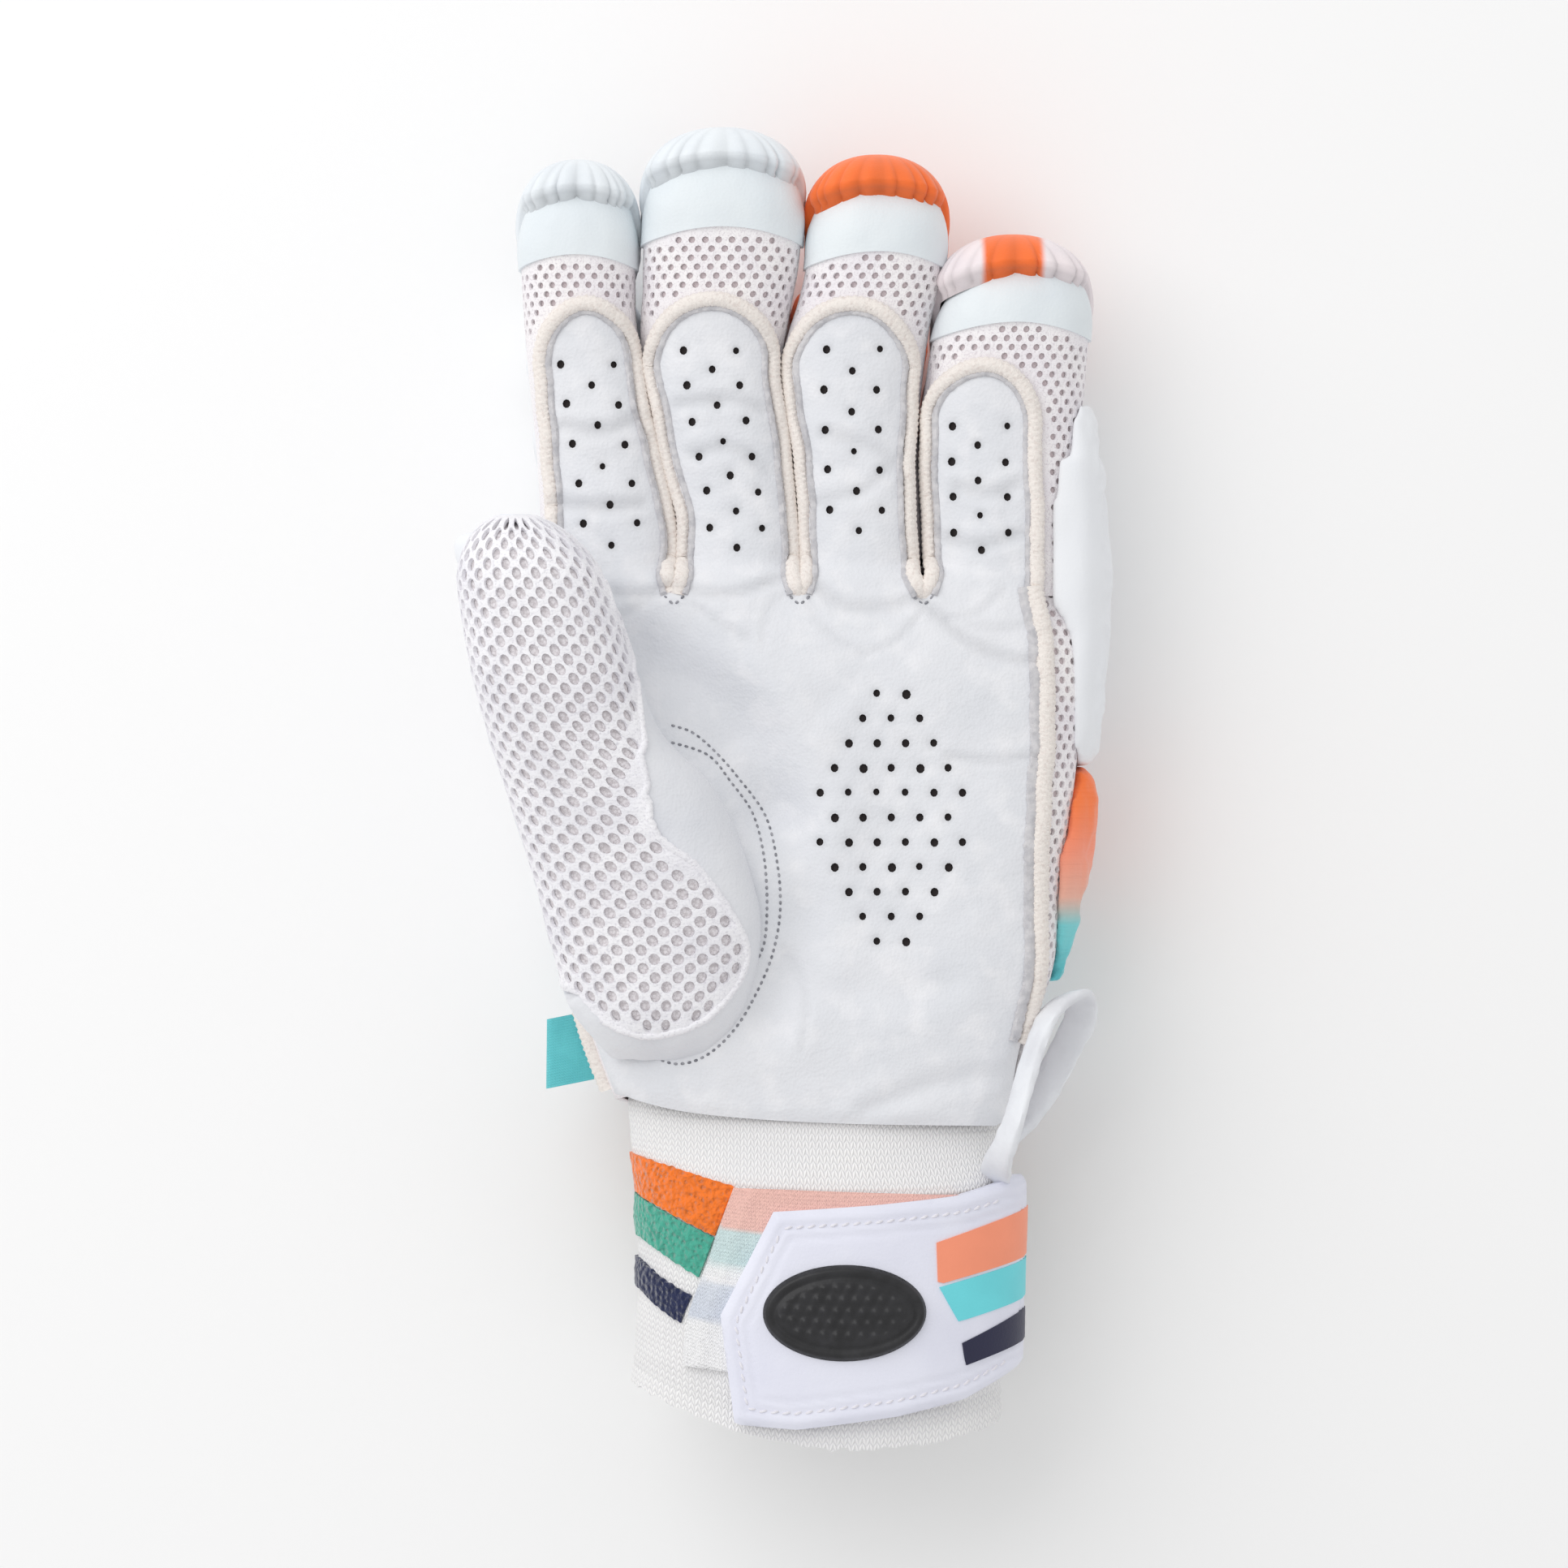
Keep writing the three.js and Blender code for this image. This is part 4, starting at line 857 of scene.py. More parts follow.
# Dark discs a little under the holes: painted shadow that shows through the perforations
hole_shadow_paint = Finish("hole_shadow_paint", srgb(52, 46, 46), 0.95)
hole_shadow_paint.grain(900, 0.1)
ring = np.array(round_hole(0, 0, HOLE_RADIUS * 1.7, 8))
points = []
every = []
for middle in hole_centres:
    disc = ring + middle
    level = front_height(disc[:, 0], disc[:, 1]) + leather_folds(disc)[0]
    every.extend(tube_faces(2, 8, len(points), inward=True))
    for layer in (LEATHER_THICK + 0.05, LEATHER_THICK + 0.25):
        points.extend(np.column_stack([disc, level - layer]))
make_piece("hole_shadows", points, every, hole_shadow_paint)

# Stitching: short grey thread stitches, two rows round the thumb patch and a
# few at the foot of each seam between the fingers. Every row is one joined mesh.
STITCH_ROWS = (
    ((-26, 8.9), (-18, 6.2), (-13.2, 0.5), (-8.3, -6.8), (-5.8, -18.1), (-5.8, -31.8), (-8.3, -38.3),
     (-13.2, -46.3), (-20.3, -53.7), (-26, -55.2), (-32.5, -52.8), (-37.3, -48.7)),
    ((-26, 12.5), (-21.2, 10.9), (-16.4, 6.8), (-11.5, 1.2), (-5.8, -6.8), (-3.4, -16.4), (-2.7, -24.6),
     (-3.4, -31.8), (-5.8, -39.8), (-11.5, -50.4), (-18, -56.8), (-24.5, -58.8), (-30.1, -56.8),
     (-34.1, -53.7)),
)
THREAD_RADIUS = 0.31


def even_path(path, pitch):
    # The same path with its points a set distance apart
    path = np.asarray(path, float)
    reach = np.concatenate([[0], np.cumsum(np.linalg.norm(np.diff(path, axis=0), axis=1))])
    count = max(2, int(reach[-1] / pitch) + 1)
    even = np.linspace(0, reach[-1], count)
    return np.column_stack([np.interp(even, reach, path[:, k]) for k in range(path.shape[1])])


def stitches(places, ups, length=0.62, radius=THREAD_RADIUS, slant=0.0):
    # One small round-ended stitch on each stretch of a seam
    points = []
    every = []
    rings = ((-1.0, 0.0), (-0.8, 0.75), (0.0, 1.0), (0.8, 0.75), (1.0, 0.0))
    for at in range(len(places) - 1):
        middle = (places[at] + places[at + 1]) / 2
        run = places[at + 1] - places[at]
        half = np.linalg.norm(run) * length / 2 + 1e-6
        up = ups[at] / np.linalg.norm(ups[at])
        run = run / (np.linalg.norm(run) + 1e-9)
        side = np.cross(up, run)
        side /= np.linalg.norm(side) + 1e-9
        run = run + side * slant
        every.extend(tube_faces(len(rings), 6, len(points)))
        for along, size in rings:
            for k in range(6):
                angle = 2 * math.pi * k / 6
                out = (side * math.cos(angle) + up * math.sin(angle)) * radius * max(size, 0.05)
                points.append(middle + run * along * half + out - up * 0.12 * abs(along))
    return points, every


def front_places(path, lift):
    # Flat places brought up to the leather's surface, with the way up there
    path = np.asarray(path, float)
    step = 0.4

    def height_at(across, along):
        return front_height(path[:, 0] + across, path[:, 1] + along)

    level = height_at(0, 0) + leather_folds(path)[0]
    slope_x = (height_at(step, 0) - height_at(-step, 0)) / (2 * step)
    slope_y = (height_at(0, step) - height_at(0, -step)) / (2 * step)
    up = np.column_stack([-slope_x, -slope_y, np.ones(len(path))])
    up /= np.linalg.norm(up, axis=1, keepdims=True)
    return np.column_stack([path, level]) + up * lift, up


def add_stitches(name, rows, pitch=1.45):
    # Rows of stitches in the palm leather, joined into one piece
    points = []
    every = []
    for row in rows:
        more, faces = stitches(*front_places(even_path(row, pitch), 0.05))
        every.extend(tuple(k + len(points) for k in face) for face in faces)
        points.extend(more)
    make_piece(name, points, every, grey_thread)


grey_thread = Finish("grey_thread", srgb(122, 123, 130), 0.7)
grey_thread.mottle(900, srgb(168, 168, 174), detail=1).grain(4000, 0.08, detail=1)
add_stitches("thumb_patch_stitches", [eased_path(np.array(row) + [1.3, 0]) for row in STITCH_ROWS])
root_rows = []
for finger in FINGERS[:3]:
    edge = lane(finger, ROOT_Y)[1]
    root_rows.append([(edge - 3.2, ROOT_Y - 2.6), (edge - 1.6, ROOT_Y - 4.8), (edge, ROOT_Y - 6)])
    root_rows.append([(edge, ROOT_Y - 6), (edge + 1.6, ROOT_Y - 4.8), (edge + 3.2, ROOT_Y - 2.6)])
add_stitches("finger_root_stitches", root_rows, 1.5)

# Tip wraps: a smooth band of bluish-white leather round each finger below the
# tip, its edge turned in under the gathered roll.
wrap_leather = Finish("wrap_leather", srgb(233, 239, 242), 0.5, sheen=0.05)
wrap_leather.mottle(60, srgb(224, 231, 236), 0.35, 0.8).pebble(1700, 0.1, 0.4)
wrap_leather.grain(260, 0.35, 0.5, 4, (1, 0.4, 1))
for finger in FINGERS:
    skin = finger_skins[finger["name"]]
    tip = finger_tip(finger)
    crown = tip - WRAP_LENGTH * finger["wrap"]
    shares = np.linspace(0, 1, 90)
    x_low = on_skin(skin, shares, np.full(90, crown - 4))[:, 0]
    x_high = on_skin(skin, shares, np.full(90, tip - 10))[:, 0]
    low_edge = arch_over(finger, x_low, crown, WRAP_BOW)
    high_edge = arch_over(finger, x_high, tip - ROLL_LENGTH + 1.5, WRAP_BOW)
    outline = list(zip(shares, low_edge)) + list(zip(shares[::-1], high_edge[::-1]))

    def wrap_dents(share, line, flat):
        return dents_on(flat * [1, 0.6], ((0.28, 5, 2), (0.1, 1.8, 7)), finger["lane"] * 9.0)

    how = {"outer": 1.75, "inner": 0.5, "spacing": 1.6, "waves": wrap_dents}
    lay_sheet(finger["name"] + "_tip_wrap", skin, outline, wrap_leather, "tip_leather", **how)

# Tip rolls: a padded cap over each fingertip, its fabric gathered into pleats
# that are deepest at the seam and fade out over the crown.
TIP_ROLL = 3.4
BACK_ROLL_LENGTH = 22.0
CAP_STEPS = 216
CAP_ROWS = 22
PLEAT_COUNT = 22
PLEAT_DEPTH = 1.0
CAP_WHITE = srgb(236, 241, 245)
CAP_PINK = srgb(247, 236, 238)
CAP_ORANGE = srgb(255, 118, 48)
cap_cloth = Finish("cap_cloth", (1, 1, 1), 0.6, sheen=0.2)
cap_cloth.mottle(120, (0.9, 0.91, 0.93), 0.4, 0.8).shaded().grain(2200, 0.12, 0.6, 2)
for finger in FINGERS:
    tip = finger_tip(finger)
    top_y = tip + WALL + TIP_ROLL
    share = np.arange(CAP_STEPS) / CAP_STEPS
    angle = -math.pi / 2 + 2 * math.pi * share
    across = np.sign(np.cos(angle)) * np.abs(np.cos(angle)) ** 0.8
    up = np.sign(np.sin(angle)) * np.abs(np.sin(angle)) ** 0.8
    section = finger_section(finger, tip - TIP_ROUND)
    front = arch_over(finger, section["x"] + across * section["half_width"], tip - ROLL_LENGTH, WRAP_BOW)
    turn = np.clip((0.15 - up) / 0.5, 0, 1)
    seam = front + (tip - BACK_ROLL_LENGTH - front) * turn**2 * (3 - 2 * turn)
    seed = finger["lane"] * 13.0
    ring = np.column_stack([across, up])
    jitter = dents_on(ring * 3, ((0.6, 1, seed),), seed)
    uneven = 1 + dents_on(ring * 6, ((0.5, 1, seed + 4),), seed)
    pillow = np.abs(np.sin(math.pi * PLEAT_COUNT * share + math.pi * jitter)) ** 0.55

    def cap_ring(y, grow_wide, grow_deep, round_to):
        # One ring of the cap; its size falls off towards the crown
        rise = np.clip((y - tip + TIP_ROUND) / round_to, 0, 1)
        size = np.sqrt(np.maximum(1 - rise**3.1, 0.0004))
        own = finger_section(finger, np.minimum(y, tip - TIP_ROUND))
        x = own["x"] + across * (own["half_width"] + grow_wide) * size
        z = finger_section(finger, np.full(CAP_STEPS, tip))["z"] * 0.5 + own["z"] * 0.5
        return np.column_stack([x, y, z + up * (own["half_depth"] + grow_deep) * size])

    # Each ring carries painted shade: 0.7 on the rings turned in under the cap, darker folds between the
    # pleats towards the seam, and a dark line along the seam
    rings = []
    painted_cap_shade = []
    for row in range(8):
        t = row / 7
        y = (tip - 0.3) + (seam - 1.5 - tip + 0.3) * math.sin(t * math.pi / 2)
        rings.append(cap_ring(y, 0.4, 0.4, TIP_ROUND + 0.4))
        painted_cap_shade.append(np.full(CAP_STEPS, 0.7))
    for row in range(CAP_ROWS):
        t = row / (CAP_ROWS - 1)
        y = seam + (top_y - seam) * math.sin(t * math.pi / 2)
        puff = min(1, 0.25 + (t / 0.22) ** 0.7)
        pleat = (1 - pillow) * (PLEAT_DEPTH * uneven * (1 - t) ** 1.6 + 0.06)
        wide, deep = (WALL + 0.9) * puff - pleat, (WALL + TIP_ROLL) * puff - pleat
        rings.append(cap_ring(y, wide, deep, TIP_ROUND + 5))
        painted_cap_shade.append(1 - 0.26 * (1 - pillow) * (1 - t) ** 1.2 - 0.12 * (t < 0.06))
    points = np.concatenate(rings)
    every = tube_faces(len(rings), CAP_STEPS, inward=True)
    colour = np.tile(CAP_WHITE, (len(points), 1))
    slot = "pad_white"
    if finger["name"] == "ring":
        colour = np.tile(CAP_ORANGE, (len(points), 1))
        slot = "pad_orange"
    if finger["name"] == "little":
        band = np.clip((points[:, :1] - 41) / 1.2, 0, 1) * np.clip((54.8 - points[:, :1]) / 1.2, 0, 1)
        colour = np.array(CAP_PINK) * (1 - band) + np.array(CAP_ORANGE) * band
    # The cap's own colours times its painted shade
    tint = colour * np.concatenate(painted_cap_shade)[:, None]
    cap = make_piece(finger["name"] + "_tip_roll", points, every, cap_cloth, sharp=70, tint=tint)

# Seam bindings: a knitted cream tape wrapped over the seam where each tongue
# meets the mesh, with the raw grey edge of the leather showing inside it.
BINDING_WIDTH = 1.65
BINDING_HEIGHT = 1.35
BINDING_SIDES = 12
RIB_PITCH = 1.3


def direction(path):
    # The way that a path runs at each of its points
    run = np.gradient(np.asarray(path, float), axis=0)
    return run / (np.linalg.norm(run, axis=1, keepdims=True) + 1e-9)


def sweep(path, ups, half_width, half_height, sides=12, swell=None, power=2.0):
    # A rounded cord or tape along a path, flattened to its own width and height
    path = np.asarray(path, float)
    run = direction(path)
    side = np.cross(run, ups)
    side /= np.linalg.norm(side, axis=1, keepdims=True) + 1e-9
    top = np.cross(side, run)
    reach = np.concatenate([[0], np.cumsum(np.linalg.norm(np.diff(path, axis=0), axis=1))])
    points = []
    for at in range(len(path)):
        for k in range(sides):
            angle = 2 * math.pi * k / sides
            a = math.copysign(abs(math.cos(angle)) ** (2 / power), math.cos(angle))
            b = math.copysign(abs(math.sin(angle)) ** (2 / power), math.sin(angle))
            size = 1.0 if swell is None else swell(reach[at], angle, at)
            points.append(path[at] + side[at] * a * half_width * size + top[at] * b * half_height * size)
    return points, tube_faces(len(path), sides)


def knit_ribs(reach, angle, at):
    slant = math.sin(2 * math.pi * reach / RIB_PITCH + 2 * angle)
    return 1 + 0.1 * slant + 0.06 * noise.noise(Vector((reach * 0.5, math.cos(angle), math.sin(angle))))


def raw_lumps(reach, angle, at):
    return 1 + 0.3 * noise.noise(Vector((reach * 0.9, angle, 2.0)))


def inset_path(path, distance):
    # The path moved sideways, to its right as it runs
    run = direction(path)
    return path + np.column_stack([run[:, 1], -run[:, 0]]) * distance


def binding_path(outline, wander, seed):
    # The seam's line with the small sideways wander of sewn tape
    even = even_path(outline, 0.42)
    return inset_path(even, wander * dents_on(even, ((1, 9, seed),), seed)[:, None])


def sew_along(name, path, lift, half_width, half_height, sides, swell, finish):
    points, every = sweep(*front_places(path, lift), half_width, half_height, sides, swell)
    make_piece(name, points, every, finish)


cream_knit = Finish("cream_knit", srgb(244, 237, 231), 0.85, sheen=0.2)
cream_knit.mottle(1300, srgb(226, 214, 208), 0.5, 0.8, 2).grain(2200, 0.22, 0.9, 2)
raw_edge = Finish("raw_edge", srgb(192, 191, 195), 0.85)
raw_edge.mottle(500, srgb(214, 212, 214), detail=3).grain(1400, 0.25, 0.9, 3)
for finger in FINGERS:
    outline = tongue_outline(finger, ROOT_Y + 0.5, 20, 24)
    edges = lane(finger, ROOT_Y)
    first = [(edges[0] + 0.5, ROOT_Y - 3.4)] if finger["lane"] else [(outline[0][0], ROOT_Y - 6)]
    last = [(edges[1] - 0.5, ROOT_Y - 3.4)]
    if finger["lane"] == 3:
        last = [(outer_seam(ROOT_Y - 3) + 0.4, ROOT_Y - 3)]
    path = binding_path(first + outline + last, 0.55, finger["lane"] * 3.7)
    places, ups = front_places(path, 0.35)
    ends = np.minimum(np.arange(len(path)), np.arange(len(path))[::-1]) * 0.42
    places = places - ups * (1.7 * np.clip(1 - ends / 3.0, 0, 1) ** 2)[:, None]
    points, every = sweep(places, ups, BINDING_WIDTH, BINDING_HEIGHT, BINDING_SIDES, knit_ribs)
    make_piece(finger["name"] + "_binding", points, every, cream_knit)
    path = inset_path(path, 1.75)
    sew_along(finger["name"] + "_raw_edge", path, 0.1, 0.75, 0.7, 8, raw_lumps, raw_edge)
ys = np.linspace(0.13 * PALM_LENGTH + HEM_Y, ROOT_Y - 2, 40)
path = binding_path(np.column_stack([outer_seam(ys) + 0.4, ys]), 0.5, 31)
sew_along("outer_binding", path, 0.2, 2.0, 1.4, BINDING_SIDES, knit_ribs, cream_knit)
path = inset_path(path, -2.3)
sew_along("outer_raw_edge", path, 0.1, 1.3, 0.85, 8, raw_lumps, raw_edge)

# Padding: foam rolls in light fabric over the back of the hand and fingers,
# each one plump between its stitched channels, with a white bar and a
# colour-graded roll down the little-finger side.
PAD_COLOURS = {
    "pad_white": srgb(238, 240, 244),
    "pad_teal": srgb(104, 206, 212),
    "pad_coral": srgb(255, 140, 110),
    "pad_orange": srgb(255, 118, 48),
    "pad_blend": (1.0, 1.0, 1.0),
}
BLEND_STOPS = (
    (-44.0, srgb(96, 206, 214)),
    (-30.0, srgb(124, 212, 216)),
    (-24.0, srgb(238, 180, 160)),
    (-14.0, srgb(255, 150, 118)),
    (-4.0, srgb(255, 128, 66)),
    (6.0, srgb(255, 120, 52)),
)
RING_SLOTS = ("pad_teal", "pad_coral", "pad_orange")
PAD_PRESSURE = 4.0
PAD_FRAMES = 20
PAD_PLAY = 1.2


def pad_finish(slot):
    made = Finish(slot, PAD_COLOURS[slot], 0.65, sheen=0.2)
    if slot == "pad_blend":
        made.shaded().grain(520, 0.3, 0.8, 1, (0.1, 3.2, 0.1))
    else:
        made.mottle(70, tuple(0.85 * c + 0.13 for c in PAD_COLOURS[slot]), 0.4, 0.75)
    return made.grain(260, 0.5, 0.5, 3, (1, 0.35, 1)).grain(2400, 0.1, 0.5, 1)


def banded(bands, at):
    # Colours that change along a line, read from a table of places and colours
    stops = [stop for stop, _ in bands]
    return np.column_stack([np.interp(at, stops, [colour[k] for _, colour in bands]) for k in range(3)])


def mesh_spots(mesh, field="co"):
    spots = np.zeros(len(mesh.vertices) * 3)
    mesh.vertices.foreach_get(field, spots)
    return spots.reshape(-1, 3)


def settled_mesh(made):
    # The piece's mesh as its modifiers leave it
    depsgraph = bpy.context.evaluated_depsgraph_get()
    mesh = bpy.data.meshes.new_from_object(made.evaluated_get(depsgraph))
    made.modifiers.clear()
    made.data = mesh
    return mesh


def plump_pad(node, slot, voxel=1.5, softening=14):
    # The pad's own solid as a soft bag: refined, rounded and puckered at its ends
    made = bpy.data.objects.new(node + "_pad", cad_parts[node].data.copy())
    bpy.context.scene.collection.objects.link(made)
    remesh = made.modifiers.new("remesh", "REMESH")
    remesh.mode = "VOXEL"
    remesh.voxel_size = voxel * MM
    smooth = made.modifiers.new("smooth", "SMOOTH")
    smooth.iterations = softening
    smooth.factor = 0.5
    mesh = settled_mesh(made)
    spots = mesh_spots(mesh)
    normals = mesh_spots(mesh, "normal")
    low, high = spots.min(axis=0), spots.max(axis=0)
    along = np.abs((spots[:, 1] - low[1]) / (high[1] - low[1]) - 0.5) * 2
    pucker = noise_on(spots * [1, 0.25, 1] / MM, 1 / 2.6, low[0] * 900) * 0.4 * along**2
    soft = noise_on(spots / MM, 1 / 8, low[1] * 700) * 0.35 + 0.45
    spots += normals * ((pucker + soft)[:, None] * MM)
    spots[:, 2] = np.maximum(spots[:, 2], 0.0)
    mesh.vertices.foreach_set("co", spots.ravel())
    mesh.polygons.foreach_set("use_smooth", [True] * len(mesh.polygons))
    mesh.materials.clear()
    mesh.materials.append(finishes[slot].material)
    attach(made, "root")
    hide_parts(node)
    return made


def blow_up(pads):
    # Lets the pads' fabric take up the push of the filling, held where sewn
    for pad in pads:
        spots = mesh_spots(pad.data)
        low, high = spots.min(axis=0), spots.max(axis=0)
        share = (spots - low) / (high - low)
        held = (share[:, 2] > 0.8) | (np.abs(share[:, 1] - 0.5) > 0.46)
        sewn = pad.vertex_groups.new(name="sewn")
        sewn.add(np.flatnonzero(held).tolist(), 1.0, "REPLACE")
        cloth = pad.modifiers.new("cloth", "CLOTH")
        cloth.settings.quality = 4
        cloth.settings.mass = 0.15
        cloth.settings.tension_stiffness = 12
        cloth.settings.compression_stiffness = 8
        cloth.settings.bending_stiffness = 0.4
        cloth.settings.shrink_min = -0.06
        cloth.settings.use_pressure = True
        cloth.settings.uniform_pressure_force = PAD_PRESSURE
        cloth.settings.effector_weights.gravity = 0
        cloth.settings.vertex_group_mass = "sewn"
        cloth.collision_settings.use_collision = False
        cloth.point_cache.frame_start = 1
        cloth.point_cache.frame_end = PAD_FRAMES
    for at in range(1, PAD_FRAMES + 1):
        bpy.context.scene.frame_set(at)
    moved = []
    for pad in pads:
        start = mesh_spots(pad.data)
        depsgraph = bpy.context.evaluated_depsgraph_get()
        end = mesh_spots(pad.evaluated_get(depsgraph).data)
        shift = end - start
        reach = np.linalg.norm(shift, axis=1, keepdims=True)
        shift *= np.minimum(1, PAD_PLAY * MM / np.maximum(reach, 1e-9))
        moved.append((pad, start + shift))
    for pad, spots in moved:
        pad.modifiers.clear()
        spots[:, 2] = np.maximum(spots[:, 2], 0.0)
        pad.data.vertices.foreach_set("co", spots.ravel())
        pad.data.update()
    bpy.context.scene.frame_set(1)


def finish_pads(pads):
    # A finer surface, and the fade of colour along the graded roll
    for pad in pads:
        finer = pad.modifiers.new("finer", "SUBSURF")
        finer.levels = 1
        finer.render_levels = 1
        mesh = settled_mesh(pad)
        if pad.name.startswith("outer_roll"):
            colour = banded(BLEND_STOPS, mesh_spots(mesh)[:, 1] / MM)
            colours = mesh.attributes.new("tint", "FLOAT_COLOR", "POINT")
            colours.data.foreach_set("color", np.column_stack([colour, np.ones(len(colour))]).ravel())


finishes = {slot: pad_finish(slot) for slot in PAD_COLOURS}
pads = [plump_pad("side_bar", "pad_white"), plump_pad("outer_roll", "pad_blend")]
for finger in FINGERS:
    for count in (1, 2, 3):
        slot = RING_SLOTS[count - 1] if finger["name"] == "ring" else "pad_white"
        pads.append(plump_pad("%s_roll_%d" % (finger["name"], count), slot))
for row in (1, 2, 3, 4):
    for side in ("inner", "outer"):
        pads.append(plump_pad("back_roll_%d_%s" % (row, side), "pad_white"))
for count in (1, 2, 3):
    pads.append(plump_pad("thumb_roll_%d" % count, "pad_white", voxel=1.2, softening=8))
blow_up(pads)
finish_pads(pads)

# Thumb stall: a thick open spacer mesh over the front, its inner layer grey
# through the holes, sewn to leather at its inner edge and base, with a plain
# fabric back and padded rolls behind.
THUMB_Y = -57.0
THUMB_LENGTH = 112.0
THUMB_WIDTH = 43.0
THUMB_DEPTH = 26.0
THUMB_ROUND = 15.0
THUMB = {
    "along": [0.0, 0.07, 0.2, 0.33, 0.5, 0.6, 0.72, 0.88, 1.0],
    "centre": [-0.62, -0.63, -0.64, -0.7, -0.87, -1.03, -1.13, -1.235, -1.315],
    "width": [0.42, 0.72, 0.95, 1.0, 0.93, 0.77, 0.73, 0.66, 0.6],
    "height": [0.86, 0.88, 0.91, 0.96, 1.06, 1.14, 1.23, 1.25, 1.23],
    "depth": [0.6, 0.8, 0.95, 1.0, 1.0, 1.0, 0.97, 0.92, 0.85],
}
THUMB_SEAM = (
    (-39.3, 41.6), (-36.6, 34.4), (-34.1, 27.9), (-32.5, 19.8), (-31, 10), (-29.4, -2), (-27.7, -9.2),
    (-24.5, -12.8), (-20.3, -15.8), (-16.4, -20.5), (-12.3, -27), (-9.6, -33), (-9.8, -38), (-12.3, -43),
    (-16.4, -47.6), (-21.2, -50.2), (-27.7, -51.6), (-32.5, -51), (-38.1, -48.4), (-42.5, -43.6),
)
SPACER_PITCH = 4.026
SPACER_HOLE = 0.98


def thumb_section(y):
    along = (np.asarray(y, float) - THUMB_Y) / THUMB_LENGTH
    rise = np.clip((y - THUMB_Y - THUMB_LENGTH + THUMB_ROUND) / THUMB_ROUND, 0, 0.9999)
    base = np.clip((THUMB_Y + 9 - y) / 9, 0, 0.98)
    size = np.sqrt(1 - rise**2) * np.sqrt(1 - base**2)
    return {
        "x": between(THUMB, along, "centre") * THUMB_WIDTH,
        "z": HAND_BASE + between(THUMB, along, "height") * PALM_DEPTH,
        "half_width": between(THUMB, along, "width") * THUMB_WIDTH / 2 * np.sqrt(1 - rise**2),
        "half_depth": between(THUMB, along, "depth") * THUMB_DEPTH / 2 * size,
    }


thumb_end = THUMB_Y + THUMB_LENGTH
thumb_sides = np.linspace(THUMB_Y, thumb_end - THUMB_ROUND, 60)
thumb_lines = np.concatenate([thumb_sides, np.linspace(41, thumb_end - 0.05, 26)])
thumb_skin = skin_over(thumb_section, thumb_lines, FINGER_POWER)
panel_top = thumb_end - 0.6
seam_line = eased_path(THUMB_SEAM, 6)
seam_spots = np.column_stack([share_over(thumb_skin, seam_line[:, 0], seam_line[:, 1]), seam_line[:, 1]])
over_tip = [(0.25, y) for y in np.linspace(panel_top, 44, 8)]
left_side = [(0.775, y) for y in np.linspace(-43, panel_top, 50)]
panel = np.concatenate([over_tip, seam_spots, left_side])


def everywhere(places):
    return np.ones(len(places), bool)


spacer_holes = net_holes(thumb_skin, panel, SPACER_PITCH, SPACER_HOLE, everywhere, 1.28, 0.48, 12)
spacer_centres = np.array([np.mean(hole, axis=0) for hole in spacer_holes])
spacer = Finish("spacer_mesh", srgb(240, 239, 244), 0.8, sheen=0.2)
spacer.mottle(80, srgb(249, 248, 251)).mottle(1900, srgb(216, 214, 222), 0.52, 0.8, 2)
spacer.grain(1600, 0.3, 0.9, 2, (0.5, 1, 1))
inner_grey = Finish("spacer_inner", srgb(244, 240, 242), 0.95)
inner_grey.vary(inner_grey.cells(1400), srgb(218, 212, 214), 0.3, 0.7).grain(2200, 0.4, 0.9, 2)


def strands(share, line, flat):
    # The mesh is rounded and a little higher between its holes
    near = np.min(np.linalg.norm((flat[:, None, :] - spacer_centres) * [1, 0.8], axis=2), axis=1)
    return 0.35 * np.clip(near - 1.0, 0, 1)


how = {"outer": 0.5, "inner": 0.1, "spacing": 2.4, "held": "stretched"}
lay_sheet("thumb_mesh_inner", thumb_skin, panel, inner_grey, "spacer_mesh", **how)
how = {"holes": spacer_holes, "waves": strands, "held": "stretched", "rests_on": ["thumb_mesh_inner"]}
lay_sheet("thumb_mesh", thumb_skin, panel, spacer, "spacer_mesh", 1.45, 0.55, 1.3, **how)
rolled = even_path(seam_spots[:-6] * [thumb_skin["girth"], 1], 0.6) / [thumb_skin["girth"], 1]
rolled_at = on_skin(thumb_skin, *rolled.T, 1.55)
rolled_up = rolled_at - on_skin(thumb_skin, *rolled.T)
points, every = sweep(rolled_at, rolled_up, 0.8, 0.65, 8, knit_ribs)
make_piece("thumb_mesh_seam", points, every, spacer)
strip = [(0.258, 46.0)] + list(seam_spots - [0.003, 0])
strip += [(0.775, -43.6)] + [(0.775, y) for y in np.linspace(-46, THUMB_Y + 0.4, 8)]
strip += [(share, THUMB_Y + 0.4) for share in np.linspace(0.74, 0.24, 20)]
strip += [(0.215, y) for y in np.linspace(THUMB_Y + 0.4, 46, 50)]
thumb_leather = Finish("thumb_leather", srgb(233, 234, 238), 0.6, sheen=0.08)
thumb_leather.mottle(50, srgb(222, 224, 230), 0.35, 0.75).pebble(1500, 0.14, 0.5).grain(300, 0.4, 0.6, 5)


def leather_dents(share, line, flat):
    return dents_on(flat, ((0.45, 8, 5), (0.12, 2.5, 9)), 3.0)


